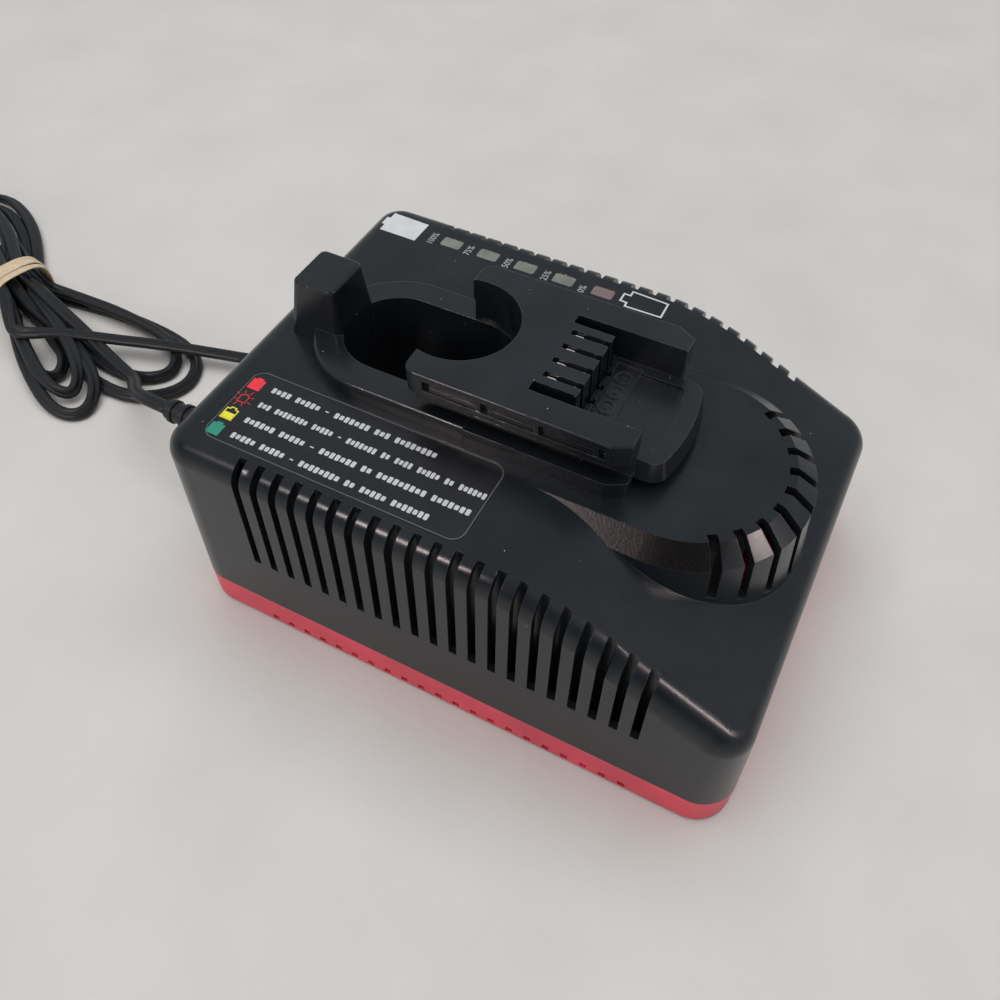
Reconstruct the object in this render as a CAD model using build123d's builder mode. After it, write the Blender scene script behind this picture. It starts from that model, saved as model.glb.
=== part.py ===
"""Desktop charger for cordless tool batteries.

Frame: millimetres, +Z up, origin on the table under the middle of the housing. The cord leaves at
the +Y end, the low rounded front is at -Y, the lamp strip is on the +X side, the label on -X.
"""
from build123d import *
import os
from math import atan2, cos, degrees, radians, sin, tan

os.makedirs("parts", exist_ok=True)

# ------------------------------------------------------------------ driving sizes
# housing and tray
body_length = 228.4
body_width = 165.4
deck_height = 94.0
seam_height = 16.4
foot_height = 1.0
draft = 2.05
corner_radius = 14.0
deck_edge_radius = 8.6
wall = 3.0
floor_thickness = 2.6
tray_edge_radius = 0.8
tongue_height = 2.5
tongue_wall = 1.4
fit_gap = 0.15
screw_gap = 0.05
bite = 1.0  # how far an added form reaches into what carries it, or a cut runs past its face
# the deck falls to the front: flat, then an arc, then a straight slope
fall_length = 99.6
fall_radius = 100.0
fall_angle = 26.0
# domed plateau over the transformer
dome_setback = 57.0
dome_crest_radius = 37.8
dome_shoulder_radius = 45.5
dome_foot_radius = 49.2
dome_shoulder_drop = 5.6
dome_slot_count = 9
dome_slot_pitch = 14.15
dome_slot_width = 3.5
dome_slot_foot = 2.5
dome_slot_lead = 3.1
# side vents and the air openings under them
vent_count = 21
vent_pitch = 7.7
vent_width = 3.2
vent_inset = 7.6
vent_bottom = 42.7
baffle_thickness = 1.5
baffle_gap = 0.8
baffle_overlap = 4.0
notch_width = 2.8
notch_depth = 5.0
notch_height = 3.0
notch_sill = 1.0
# stem socket: ring, pocket and key tower
ring_height = 6.6
ring_half_width = 31.0
ring_edge_radius = 1.4
pocket_half_width = 20.0
pocket_wall = 2.5
pocket_depth = 68.0
pocket_length = 28.3
socket_setback = 55.1
joint_setback = 100.2
pocket_flat = 17.3
tower_height = 25.2
tower_top_width = 20.4
tower_foot_width = 24.4
tower_top_length = 17.5
tower_foot_length = 24.6
tower_wall = 2.2
tower_foot_lead = 0.9
tower_top_lag = 1.8
tower_foot_corner = 3.0
tower_top_corner = 2.6
tower_edge_radius = 1.2
stem_slot_gap = 0.6
# slide dock
dock_length = 59.6
dock_half_width = 31.25
dock_web_half_width = 24.0
rail_bottom = 16.0
rail_top = 25.3
rail_reach = 23.0
rail_corner = 5.0
rail_edge_radius = 0.7
rail_panel_depth = 2.4
rail_panel_height = 4.6
rail_panel_lip = 2.2
rail_panel_front_gap = 1.0
rail_panel_back_gap = 3.0
rail_rib_inset = 0.3
rail_rib_width = 1.6
rail_rib_pitch = 21.2
rail_rib_count = 3
cradle_radius = 21.3
channel_half_width = 20.4
channel_floor = 12.2
channel_length = 24.8
front_corner_width = 3.6
front_corner_length = 6.6
front_corner_radius = 3.0
plinth_step = 0.2
lip_half_width = 20.8
lip_length = 10.9
lip_corner = 8.0
lip_flare = 2.6
dock_skin = 2.5
key_slot_width = 4.5
key_slot_length = 15.7
# shallow forms in the channel floor: a parting groove, a strip with round mould marks, a sunken tread
groove_width = 0.9
groove_depth = 1.2
mark_strip_length = 9.2
mark_strip_half_width = 18.0
mark_strip_depth = 0.5
mark_count = 4
mark_pitch = 7.9
mark_diameter = 6.4
mark_line = 0.5
mark_pip = 1.6
tread_half_width = 16.4
tread_depth = 1.3
tread_margin = 6.2
tread_bow = 2.3
tread_corner = 1.0
# contacts
contact_count = 4
contact_pitch = 7.55
contact_slot_width = 2.5
contact_slot_length = 14.3
contact_thickness = 0.4
contact_foot_length = 2.6
contact_reach = 9.0
contact_swell = 0.7
contact_side = 0.55
contact_swell_place = 0.68
contact_top_drop = 1.6
contact_tip_gap = 2.6
carrier_height = 9.3
carrier_width = 34.0
carrier_length = 15.0
carrier_margin = 0.5
tab_length = 5.0
stem_contact_count = 3
stem_contact_pitch = 6.5
stem_contact_width = 4.0
stem_contact_thickness = 0.5
stem_contact_rise = 30.0
stem_contact_tail = 6.0
stem_contact_swell = 2.6
stem_contact_swell_place = 0.6
stem_contact_gap = 2.4
# fasteners
case_screw_diameter = 3.1
case_screw_length = 20.0
case_screw_inset_x = 17.5
case_screw_inset_y = 15.5
case_post_diameter = 9.0
case_boss_diameter = 11.0
case_boss_top = 20.0
case_boss_web = 6.0
small_screw_diameter = 2.6
small_screw_length = 6.5
head_ratio = 2.1
head_height = 2.2
head_gap = 0.4
deck_screw_front = 11.0
deck_screw_joint = 8.0
deck_screw_back = 7.0
boss_edge = 1.0
# feet
foot_diameter = 14.0
foot_seat_depth = 1.0
foot_inset_x = 20.0
foot_inset_y = 34.0
# status label and lamp strip
label_length = 104.3
label_width = 35.6
label_thickness = 0.3
label_recess = 0.35
label_edge_gap = 10.0
label_setback = 13.0
label_corner = 5.0
lamp_count = 5
lamp_pitch = 17.3
lamp_edge_gap = 15.6
lamp_setback = 39.8
lamp_window_length = 9.0
lamp_window_width = 5.6
lamp_window_corner = 1.0
lamp_bar_width = 9.6
lamp_bar_thickness = 1.5
lamp_bar_end = 2.0
lamp_board_width = 10.6
lamp_board_depth = 7.0
lamp_screw_gap = 7.5
lamp_diameter = 4.0
lamp_flange = 0.5
lamp_flange_height = 0.9
lamp_tip_flat = 0.3
# electronics
board_thickness = 1.6
board_width = 136.0
board_height = 11.6
board_setback = 26.0
board_lead = 16.4
edge_gap = 14.0
board_boss_diameter = 7.0
board_screw_inset = 7.0
core_width = 66.0
core_height = 55.0
core_depth = 24.0
core_leg = 22.0
core_window_height = 33.0
core_window_width = 11.0
winding_depth = 40.0
core_seat = 3.0
core_lead = 9.0
winding_gap = 0.5
winding_corner = 4.0
strap_thickness = 1.2
strap_width = 14.0
strap_foot = 12.0
sink_height = 46.0
sink_length = 60.0
sink_thickness = 3.0
sink_fin_count = 6
sink_fin_depth = 11.0
sink_edge_gap = 22.0
transistor_width = 16.0
transistor_height = 21.0
transistor_thickness = 5.0
transistor_leg_length = 4.0
rectifier_width = 20.0
rectifier_thickness = 6.0
rectifier_height = 16.0
rectifier_leg_length = 3.0
rectifier_key = 2.0
leg_width = 1.2
leg_thickness = 0.8
can_diameter = 22.0
can_height = 35.0
can_edge_radius = 1.2
can_spacing = 30.8
fuse_diameter = 5.0
fuse_length = 20.0
fuse_rise = 1.4
fuse_edge_gap = 16.0
clip_width = 4.5
clip_wall = 0.8
clip_grip = 1.2
header_edge_gap = 6.0
header_width = 7.0
header_margin = 1.5
header_height = 9.0
lead_diameter = 1.6
lead_drop = 18.0
lead_spacing = 3.0
mains_lead_spacing = 3.6
mains_lead_reach = 10.0
mains_lead_exit = 8.0
winding_lead_starts = (12.0, 17.0)
winding_lead_reach = 7.0
winding_lead_spread = 9.0
winding_lead_drop = 5.0
# mains cord: flat twin lead
cord_width = 6.6
cord_thickness = 3.6
relief_length = 54.5
relief_root_diameter = 13.0
relief_tip_diameter = 9.0
relief_flange = 17.0
relief_flange_thickness = 2.2
relief_neck_step = 0.8
relief_gap = 0.35
relief_x = -28.0
relief_height = 32.5
collar_count = 5
collar_start = 0.42
collar_share = 0.5
collar_rise = 0.8
collar_thickness = 2.0
bend_share = 0.45
# hank of cord and its rubber band
hank_height = 13.0
hank_throat = 30.0
hank_corner = 6.0
band_width = 9.0
band_thickness = 1.6
# plug
plug_width = 24.0
plug_height = 16.0
plug_length = 24.0
plug_neck = 14.0
plug_sleeve = 1.0
plug_sleeve_corner = 2.4
plug_corner = 4.0
plug_waist_corner = 3.0
plug_waist_width = 0.6
plug_waist_height = 0.7
plug_shoulder = 0.3
blade_width = 6.35
blade_thickness = 1.5
blade_length = 16.0
blade_spacing = 12.7

# ------------------------------------------------------------------ places worked out from the sizes
slope = tan(radians(draft))
half_length = body_length / 2
half_width = body_width / 2
deck_half_width = half_width - (deck_height - seam_height) * slope
deck_half_length = half_length - (deck_height - seam_height) * slope
fall_start = -half_length + fall_length
dome_y = -half_length + dome_setback
ceiling = deck_height - wall
floor_top = foot_height + floor_thickness
ring_top = deck_height + ring_height
socket_y = half_length - socket_setback
cradle_y = socket_y - pocket_length
pocket_floor = ring_top - pocket_depth
tower_front = socket_y + pocket_flat
joint_y = half_length - joint_setback
dock_front = joint_y - dock_length
rail_low = deck_height + rail_bottom
rail_high = deck_height + rail_top
rail_end = joint_y + rail_reach
channel_z = deck_height + channel_floor
channel_back = dock_front + channel_length
dock_ceiling = channel_z - dock_skin
vent_ys = [(i - (vent_count - 1) / 2) * vent_pitch for i in range(vent_count)]
case_spots = [
    (sx * (half_width - case_screw_inset_x), sy * (half_length - case_screw_inset_y))
    for sx in (-1, 1)
    for sy in (-1, 1)
]
foot_spots = [
    (sx * (half_width - foot_inset_x), sy * (half_length - foot_inset_y)) for sx in (-1, 1) for sy in (-1, 1)
]


def write(node, name):
    """Label a finished piece and write its file."""
    node.part.label = name
    export_step(node.part, "parts/" + name + ".step")


# ------------------------------------------------------------------ shared shapes
def under_deck(inset):
    """The space below the deck line, made smaller by inset."""
    bend = fall_radius - inset
    top = deck_height - inset
    centre_z = deck_height - fall_radius
    half, full = radians(fall_angle / 2), radians(fall_angle)
    bend_end = (fall_start - bend * sin(full), centre_z + bend * cos(full))
    slope_end = (bend_end[0] - body_length * cos(full), bend_end[1] - body_length * sin(full))
    low = slope_end[1] - wall
    with BuildPart() as space:
        with BuildSketch(Plane.YZ):
            with BuildLine():
                Polyline(
                    slope_end,
                    (slope_end[0], low),
                    (body_length, low),
                    (body_length, top),
                    (fall_start, top),
                )
                ThreePointArc(
                    (fall_start, top),
                    (fall_start - bend * sin(half), centre_z + bend * cos(half)),
                    bend_end,
                )
                Line(bend_end, slope_end)
            make_face()
        extrude(amount=body_width, both=True)
    return space.part


def dome_plan(radius, height):
    """Plan of the plateau at one level: a half circle with straight sides running back."""
    tail = fall_start + corner_radius
    with BuildSketch(Plane.XY.offset(height)) as plan:
        with BuildLine():
            ThreePointArc((-radius, dome_y), (0, dome_y - radius), (radius, dome_y))
            Polyline((radius, dome_y), (radius, tail), (-radius, tail), (-radius, dome_y))
        make_face()
    return plan.sketch


def dome_form(inset):
    """The plateau, inset evenly on its top, its sloped band and its wall."""
    band_angle = atan2(dome_shoulder_drop, dome_shoulder_radius - dome_crest_radius)
    crest = dome_crest_radius - inset * tan(band_angle / 2)
    shoulder_drop = dome_shoulder_drop + inset * tan((radians(90) - band_angle) / 2)
    shoulder = dome_shoulder_radius - inset
    top = deck_height - inset
    shoulder_z = deck_height - shoulder_drop
    low = deck_height - fall_length * sin(radians(fall_angle))
    with BuildPart() as dome:
        loft([dome_plan(dome_foot_radius - inset, low), dome_plan(shoulder, shoulder_z)], ruled=True)
        loft([dome_plan(shoulder, shoulder_z), dome_plan(crest, top)], ruled=True)
    return dome.part


def housing_form(inset, bottom):
    """The whole outer form of the upper housing, or its inside when inset by the wall."""
    spread = (seam_height - bottom) * slope - inset
    with BuildPart() as form:
        with BuildSketch(Plane.XY.offset(bottom)):
            RectangleRounded(body_width + 2 * spread, body_length + 2 * spread, corner_radius - inset)
        extrude(amount=deck_height + wall - bottom, taper=draft)
        add(under_deck(inset), mode=Mode.INTERSECT)
        steepest = cos(radians(fall_angle + 1))
        tops = form.faces().filter_by(lambda face: face.normal_at().Z > steepest)
        rim = tops.edges().filter_by(lambda edge: not is_crossing(edge))
        fillet(rim, deck_edge_radius - inset)
        add(dome_form(inset))
    return form.part


def is_crossing(edge):
    """True for the two straight lines where the deck's flat, arc and slope meet."""
    middle = edge.center()
    ends = deck_half_length - corner_radius
    return edge.length > body_width / 2 and abs(middle.X) < 1 and -ends < middle.Y < ends


def bend_radii(points):
    """The largest arc that each corner of a route takes from its two runs."""
    spots = [Vector(*point) for point in points]
    radii = []
    for before, here, after in zip(spots, spots[1:], spots[2:]):
        turn = (here - before).get_angle(after - here)
        shorter = min((here - before).length, (after - here).length)
        radii.append(bend_share * shorter / tan(radians(turn / 2)))
    return radii


def route(points):
    """A smooth path of straight runs and tangent arcs through hand-chosen points."""
    with BuildLine() as path:
        FilletPolyline(*points, radius=bend_radii(points))
    return path.line


def round_leads(routes, diameter):
    """One round wire along each route."""
    with BuildPart() as leads:
        for points in routes:
            path = route(points)
            with BuildSketch(Plane(origin=path @ 0, z_dir=path % 0)) as section:
                Circle(diameter / 2)
            sweep(section.sketch, path=path)
    return leads


# ------------------------------------------------------------------ upper housing
def pocket_plan(grow, height):
    """Plan of the stem pocket: round at both ends, flat where the key tower stands."""
    radius = pocket_half_width + grow
    middle = (socket_y + cradle_y) / 2
    back = tower_front + grow
    front = cradle_y - radius - wall
    with BuildSketch(Plane.XY.offset(height)) as plan:
        with Locations((0, socket_y), (0, cradle_y)):
            Circle(radius)
        with Locations((0, middle)):
            Rectangle(2 * radius, socket_y - cradle_y)
        with Locations((0, (front + back) / 2)):
            Rectangle(3 * radius, back - front, mode=Mode.INTERSECT)
    return plan.sketch


deck_screw_x = (ring_half_width + channel_half_width) / 2
deck_screw_spots = [
    (side * deck_screw_x, y)
    for side in (-1, 1)
    for y in (
        dock_front + deck_screw_front,
        joint_y - deck_screw_joint,
        joint_y + deck_screw_joint,
        socket_y - deck_screw_back,
    )
]
lamp_x = deck_half_width - lamp_edge_gap
lamp_ys = [deck_half_length - lamp_setback - i * lamp_pitch for i in range(lamp_count)]
lamp_mid_y = (lamp_ys[0] + lamp_ys[-1]) / 2
lamp_span = lamp_ys[0] - lamp_ys[-1]
window_width = lamp_window_width + 2 * fit_gap
window_length = lamp_window_length + 2 * fit_gap
lamp_bar_length = lamp_span + lamp_window_length + 2 * lamp_bar_end
lamp_screw_reach = lamp_window_length / 2 + lamp_screw_gap
lamp_screw_ys = (lamp_ys[0] + lamp_screw_reach, lamp_ys[-1] - lamp_screw_reach)
label_x = -deck_half_width + label_edge_gap + label_width / 2
label_y = deck_half_length - label_setback - label_length / 2
carrier_y = channel_back + contact_slot_length - carrier_length / 2 + carrier_margin
back_face = half_length - (relief_height - seam_height) * slope

with BuildPart() as case_posts:
    with BuildSketch(Plane.XY.offset(case_boss_top)):
        with Locations(*case_spots):
            Circle(case_post_diameter / 2)
    extrude(amount=deck_height)
    add(housing_form(wall / 2, seam_height), mode=Mode.INTERSECT)

# inner walls that stand behind the vents and keep splashes off the board
with BuildPart() as vent_baffles:
    baffle_x = deck_half_width - vent_inset - baffle_gap - baffle_thickness / 2
    with BuildSketch(Plane.XY.offset(seam_height)):
        with Locations((-baffle_x, 0), (baffle_x, 0)):
            Rectangle(baffle_thickness, vent_ys[-1] - vent_ys[0] + 2 * baffle_overlap)
    extrude(amount=deck_height)
    add(housing_form(wall / 2, seam_height), mode=Mode.INTERSECT)

with BuildPart() as dome_slots:
    slot_reach = dome_foot_radius + wall - dome_crest_radius + dome_slot_lead
    with BuildSketch(Plane.XY.offset(seam_height + wall)):
        for i in range(dome_slot_count):
            turn = -90 + (i - (dome_slot_count - 1) / 2) * dome_slot_pitch
            with Locations((0, dome_y)):
                with PolarLocations(dome_crest_radius - dome_slot_lead + slot_reach / 2, 1, start_angle=turn):
                    Rectangle(slot_reach, dome_slot_width)
    extrude(amount=deck_height)
    add(under_deck(-dome_slot_foot), mode=Mode.SUBTRACT)

with BuildPart() as upper_housing:
    add(housing_form(0, seam_height))
    add(housing_form(wall, seam_height - wall), mode=Mode.SUBTRACT)
    add(case_posts.part)
    add(vent_baffles.part)
    with BuildSketch(Plane.XY.offset(ceiling)):
        with Locations(*[(lamp_x, y) for y in lamp_screw_ys]):
            Circle(board_boss_diameter / 2)
    extrude(amount=-lamp_board_depth)
    # screw holes in posts and bosses
    with BuildSketch(Plane.XY.offset(case_boss_top)):
        with Locations(*case_spots):
            Circle(case_screw_diameter / 2 + screw_gap)
    extrude(amount=case_screw_length, mode=Mode.SUBTRACT)
    with BuildSketch(Plane.XY.offset(ceiling - lamp_board_depth)):
        with Locations(*[(lamp_x, y) for y in lamp_screw_ys]):
            Circle(small_screw_diameter / 2 + screw_gap)
    extrude(amount=small_screw_length - board_thickness + bite, mode=Mode.SUBTRACT)
    # vents that wrap over the edge
    reach = half_width - deck_half_width + vent_inset + wall
    with BuildSketch(Plane.XY.offset(vent_bottom)):
        for side in (-1, 1):
            x = side * (deck_half_width - vent_inset + reach / 2)
            with Locations(*[(x, y) for y in vent_ys]):
                Rectangle(reach, vent_width)
    extrude(amount=deck_height, mode=Mode.SUBTRACT)
    add(dome_slots.part, mode=Mode.SUBTRACT)
    # openings through the deck
    extrude(pocket_plan(pocket_wall + fit_gap, ceiling - wall), amount=3 * wall, mode=Mode.SUBTRACT)
    with BuildSketch(Plane.XY.offset(ceiling - wall)):
        with Locations((0, carrier_y)):
            Rectangle(carrier_width - 2 * wall, carrier_length - wall)
        with Locations(*[(lamp_x, y) for y in lamp_ys]):
            RectangleRounded(window_width, window_length, lamp_window_corner)
        with Locations(*deck_screw_spots):
            Circle(small_screw_diameter / 2 + screw_gap)
    extrude(amount=3 * wall, mode=Mode.SUBTRACT)
    with BuildSketch(Plane.XY.offset(deck_height - label_recess)):
        with Locations((label_x, label_y)):
            RectangleRounded(label_width + 2 * fit_gap, label_length + 2 * fit_gap, label_corner + fit_gap)
    extrude(amount=wall, mode=Mode.SUBTRACT)
    # hole for the strain relief
    with BuildSketch(Plane(origin=(relief_x, half_length + wall, relief_height), z_dir=(0, -1, 0))):
        Circle(relief_root_diameter / 2 - relief_neck_step + fit_gap)
    extrude(amount=3 * wall, mode=Mode.SUBTRACT)
write(upper_housing, "upper_housing")

# ------------------------------------------------------------------ lower tray, feet and case screws
core_y = dome_y - core_lead
winding_face = core_y + winding_depth / 2
board_front = winding_face + board_lead
board_back = half_length - board_setback
board_length = board_back - board_front
board_y = (board_front + board_back) / 2
board_spots = [
    (sx * (board_width / 2 - board_screw_inset), board_y + sy * (board_length / 2 - board_screw_inset))
    for sx in (-1, 1)
    for sy in (-1, 1)
]
core_low = floor_top + core_seat
strap_half = core_width / 2 + strap_thickness + fit_gap
strap_spots = [(side * (strap_half + strap_foot / 2), core_y) for side in (-1, 1)]
head_recess = case_boss_top - case_boss_web


def tray_plan(inset, height):
    """Plan of the tray, made smaller by inset."""
    with BuildSketch(Plane.XY.offset(height)) as plan:
        RectangleRounded(body_width - 2 * inset, body_length - 2 * inset, corner_radius - inset)
    return plan.sketch


with BuildPart() as lower_tray:
    extrude(tray_plan(0, foot_height), amount=seam_height - foot_height)
    fillet(lower_tray.faces().sort_by(Axis.Z)[0].edges(), tray_edge_radius)
    extrude(tray_plan(wall, floor_top), amount=seam_height, mode=Mode.SUBTRACT)
    # locating tongue that stands inside the upper housing
    extrude(tray_plan(wall - fit_gap, floor_top), amount=seam_height - floor_top)
    extrude(tray_plan(wall + fit_gap, floor_top), amount=seam_height + tongue_height - floor_top)
    extrude(tray_plan(wall + fit_gap + tongue_wall, floor_top), amount=seam_height, mode=Mode.SUBTRACT)
    # bosses for the case screws, the board and the transformer strap
    with BuildSketch(Plane.XY.offset(floor_top - bite)):
        with Locations(*case_spots):
            Circle(case_boss_diameter / 2)
    extrude(amount=case_boss_top - floor_top + bite)
    with BuildSketch(Plane.XY.offset(floor_top - bite)):
        with Locations(*board_spots):
            Circle(board_boss_diameter / 2)
    extrude(amount=board_height - floor_top + bite)
    with BuildSketch(Plane.XY.offset(floor_top - bite)):
        with Locations(*strap_spots):
            Rectangle(strap_foot, strap_width)
        with Locations((0, core_y)):
            Rectangle(core_width, core_depth / 2)
    extrude(amount=core_seat + bite)
    with BuildSketch(Plane.XY.offset(foot_height)):
        with Locations(*case_spots):
            Circle(case_screw_diameter * head_ratio / 2 + head_gap)
    extrude(amount=head_recess - foot_height, mode=Mode.SUBTRACT)
    with BuildSketch(Plane.XY.offset(foot_height)):
        with Locations(*case_spots):
            Circle(case_screw_diameter / 2 + screw_gap)
    extrude(amount=case_boss_top, mode=Mode.SUBTRACT)
    with BuildSketch(Plane.XY.offset(board_height - small_screw_length)):
        with Locations(*board_spots):
            Circle(small_screw_diameter / 2 + screw_gap)
    extrude(amount=small_screw_length + bite, mode=Mode.SUBTRACT)
    with BuildSketch(Plane.XY.offset(core_low + strap_thickness - small_screw_length - screw_gap)):
        with Locations(*strap_spots):
            Circle(small_screw_diameter / 2 + screw_gap)
    extrude(amount=small_screw_length, mode=Mode.SUBTRACT)
    with BuildSketch(Plane.XY.offset(foot_height)):
        with Locations(*foot_spots):
            Circle(foot_diameter / 2 + fit_gap)
    extrude(amount=foot_seat_depth, mode=Mode.SUBTRACT)
    # small air openings low in both long walls, in line with the vents, each over a low sill
    with BuildSketch(Plane.XY.offset(foot_height + notch_sill)):
        for side in (-1, 1):
            with Locations(*[(side * (half_width - notch_depth / 2), y) for y in vent_ys]):
                Rectangle(notch_depth + 2 * bite, notch_width)
    extrude(amount=notch_height, mode=Mode.SUBTRACT)
write(lower_tray, "lower_tray")

with BuildPart() as rubber_feet:
    with BuildSketch():
        with Locations(*foot_spots):
            Circle(foot_diameter / 2)
    extrude(amount=foot_height + foot_seat_depth)
    chamfer(rubber_feet.faces().group_by(Axis.Z)[0].edges(), foot_height / 2)
write(rubber_feet, "rubber_feet")


def screws(spots, seat, diameter, length, up):
    """Pan-head screws with a cross recess: the head sits on the plane seat, the shank goes up or down."""
    sense = 1 if up else -1
    head = diameter * head_ratio
    with BuildPart() as group:
        with BuildSketch(Plane.XY.offset(seat)):
            with Locations(*spots):
                Circle(diameter / 2)
        extrude(amount=sense * length)
        with BuildSketch(Plane.XY.offset(seat)):
            with Locations(*spots):
                Circle(head / 2)
        extrude(amount=-sense * head_height)
        chamfer(group.faces().group_by(Axis.Z)[0 if up else -1].edges(), head_height / 4)
        with BuildSketch(Plane.XY.offset(seat - sense * head_height)):
            with Locations(*spots):
                Rectangle(head * 0.6, head * 0.16)
                Rectangle(head * 0.16, head * 0.6)
        extrude(amount=sense * head_height / 2, mode=Mode.SUBTRACT)
    return group


case_screws = screws(case_spots, head_recess, case_screw_diameter, case_screw_length, True)
write(case_screws, "case_screws")

# ------------------------------------------------------------------ stem socket
tower_mid_top = tower_front + tower_top_lag + tower_top_length / 2
tower_mid_foot = tower_front - tower_foot_lead + tower_foot_length / 2


def tower_form(inset):
    """The key tower: four drafted faces."""
    top = deck_height + tower_height - inset
    foot_size = (tower_foot_width - 2 * inset, tower_foot_length - 2 * inset)
    top_size = (tower_top_width - 2 * inset, tower_top_length - 2 * inset)
    with BuildPart() as tower:
        with BuildSketch(Plane.XY.offset(deck_height)) as foot_plan:
            with Locations((0, tower_mid_foot)):
                RectangleRounded(*foot_size, tower_foot_corner - inset)
        with BuildSketch(Plane.XY.offset(top)) as top_plan:
            with Locations((0, tower_mid_top)):
                RectangleRounded(*top_size, tower_top_corner - inset)
        loft([foot_plan.sketch, top_plan.sketch], ruled=True)
    return tower


tower_outside = tower_form(0)
with BuildPart() as tower_skin:
    add(tower_outside.part)
    fillet(tower_skin.faces().sort_by(Axis.Z)[-1].edges(), tower_edge_radius)
    add(tower_form(tower_wall).part, mode=Mode.SUBTRACT)

stem_slot_xs = [(i - (stem_contact_count - 1) / 2) * stem_contact_pitch for i in range(stem_contact_count)]
stem_contact_y = tower_front - stem_contact_gap - stem_contact_thickness / 2
with BuildPart() as stem_socket:
    with BuildSketch(Plane.XY.offset(deck_height)):
        with Locations((0, socket_y)):
            Circle(ring_half_width)
        with Locations((0, (joint_y + fit_gap + socket_y) / 2)):
            Rectangle(2 * ring_half_width, socket_y - joint_y - fit_gap)
    extrude(amount=ring_height)
    fillet(stem_socket.faces().sort_by(Axis.Z)[-1].edges().filter_by(GeomType.CIRCLE), ring_edge_radius)
    add(tower_skin.part)
    pocket_low = pocket_floor - pocket_wall
    extrude(pocket_plan(pocket_wall, pocket_low), amount=deck_height - pocket_low)
    extrude(pocket_plan(0, pocket_floor), amount=pocket_depth + wall, mode=Mode.SUBTRACT)
    with BuildSketch(Plane.XY.offset(pocket_floor - 2 * pocket_wall)):
        with Locations(*[(x, stem_contact_y) for x in stem_slot_xs]):
            Rectangle(stem_contact_width + stem_slot_gap, stem_contact_thickness + 2 * stem_slot_gap)
    extrude(amount=3 * pocket_wall, mode=Mode.SUBTRACT)
    with BuildSketch(Plane.XY.offset(deck_height)):
        with Locations(*[spot for spot in deck_screw_spots if spot[1] > joint_y]):
            Circle(small_screw_diameter / 2 + screw_gap)
    extrude(amount=ring_height - ring_edge_radius, mode=Mode.SUBTRACT)
write(stem_socket, "stem_socket")

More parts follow.
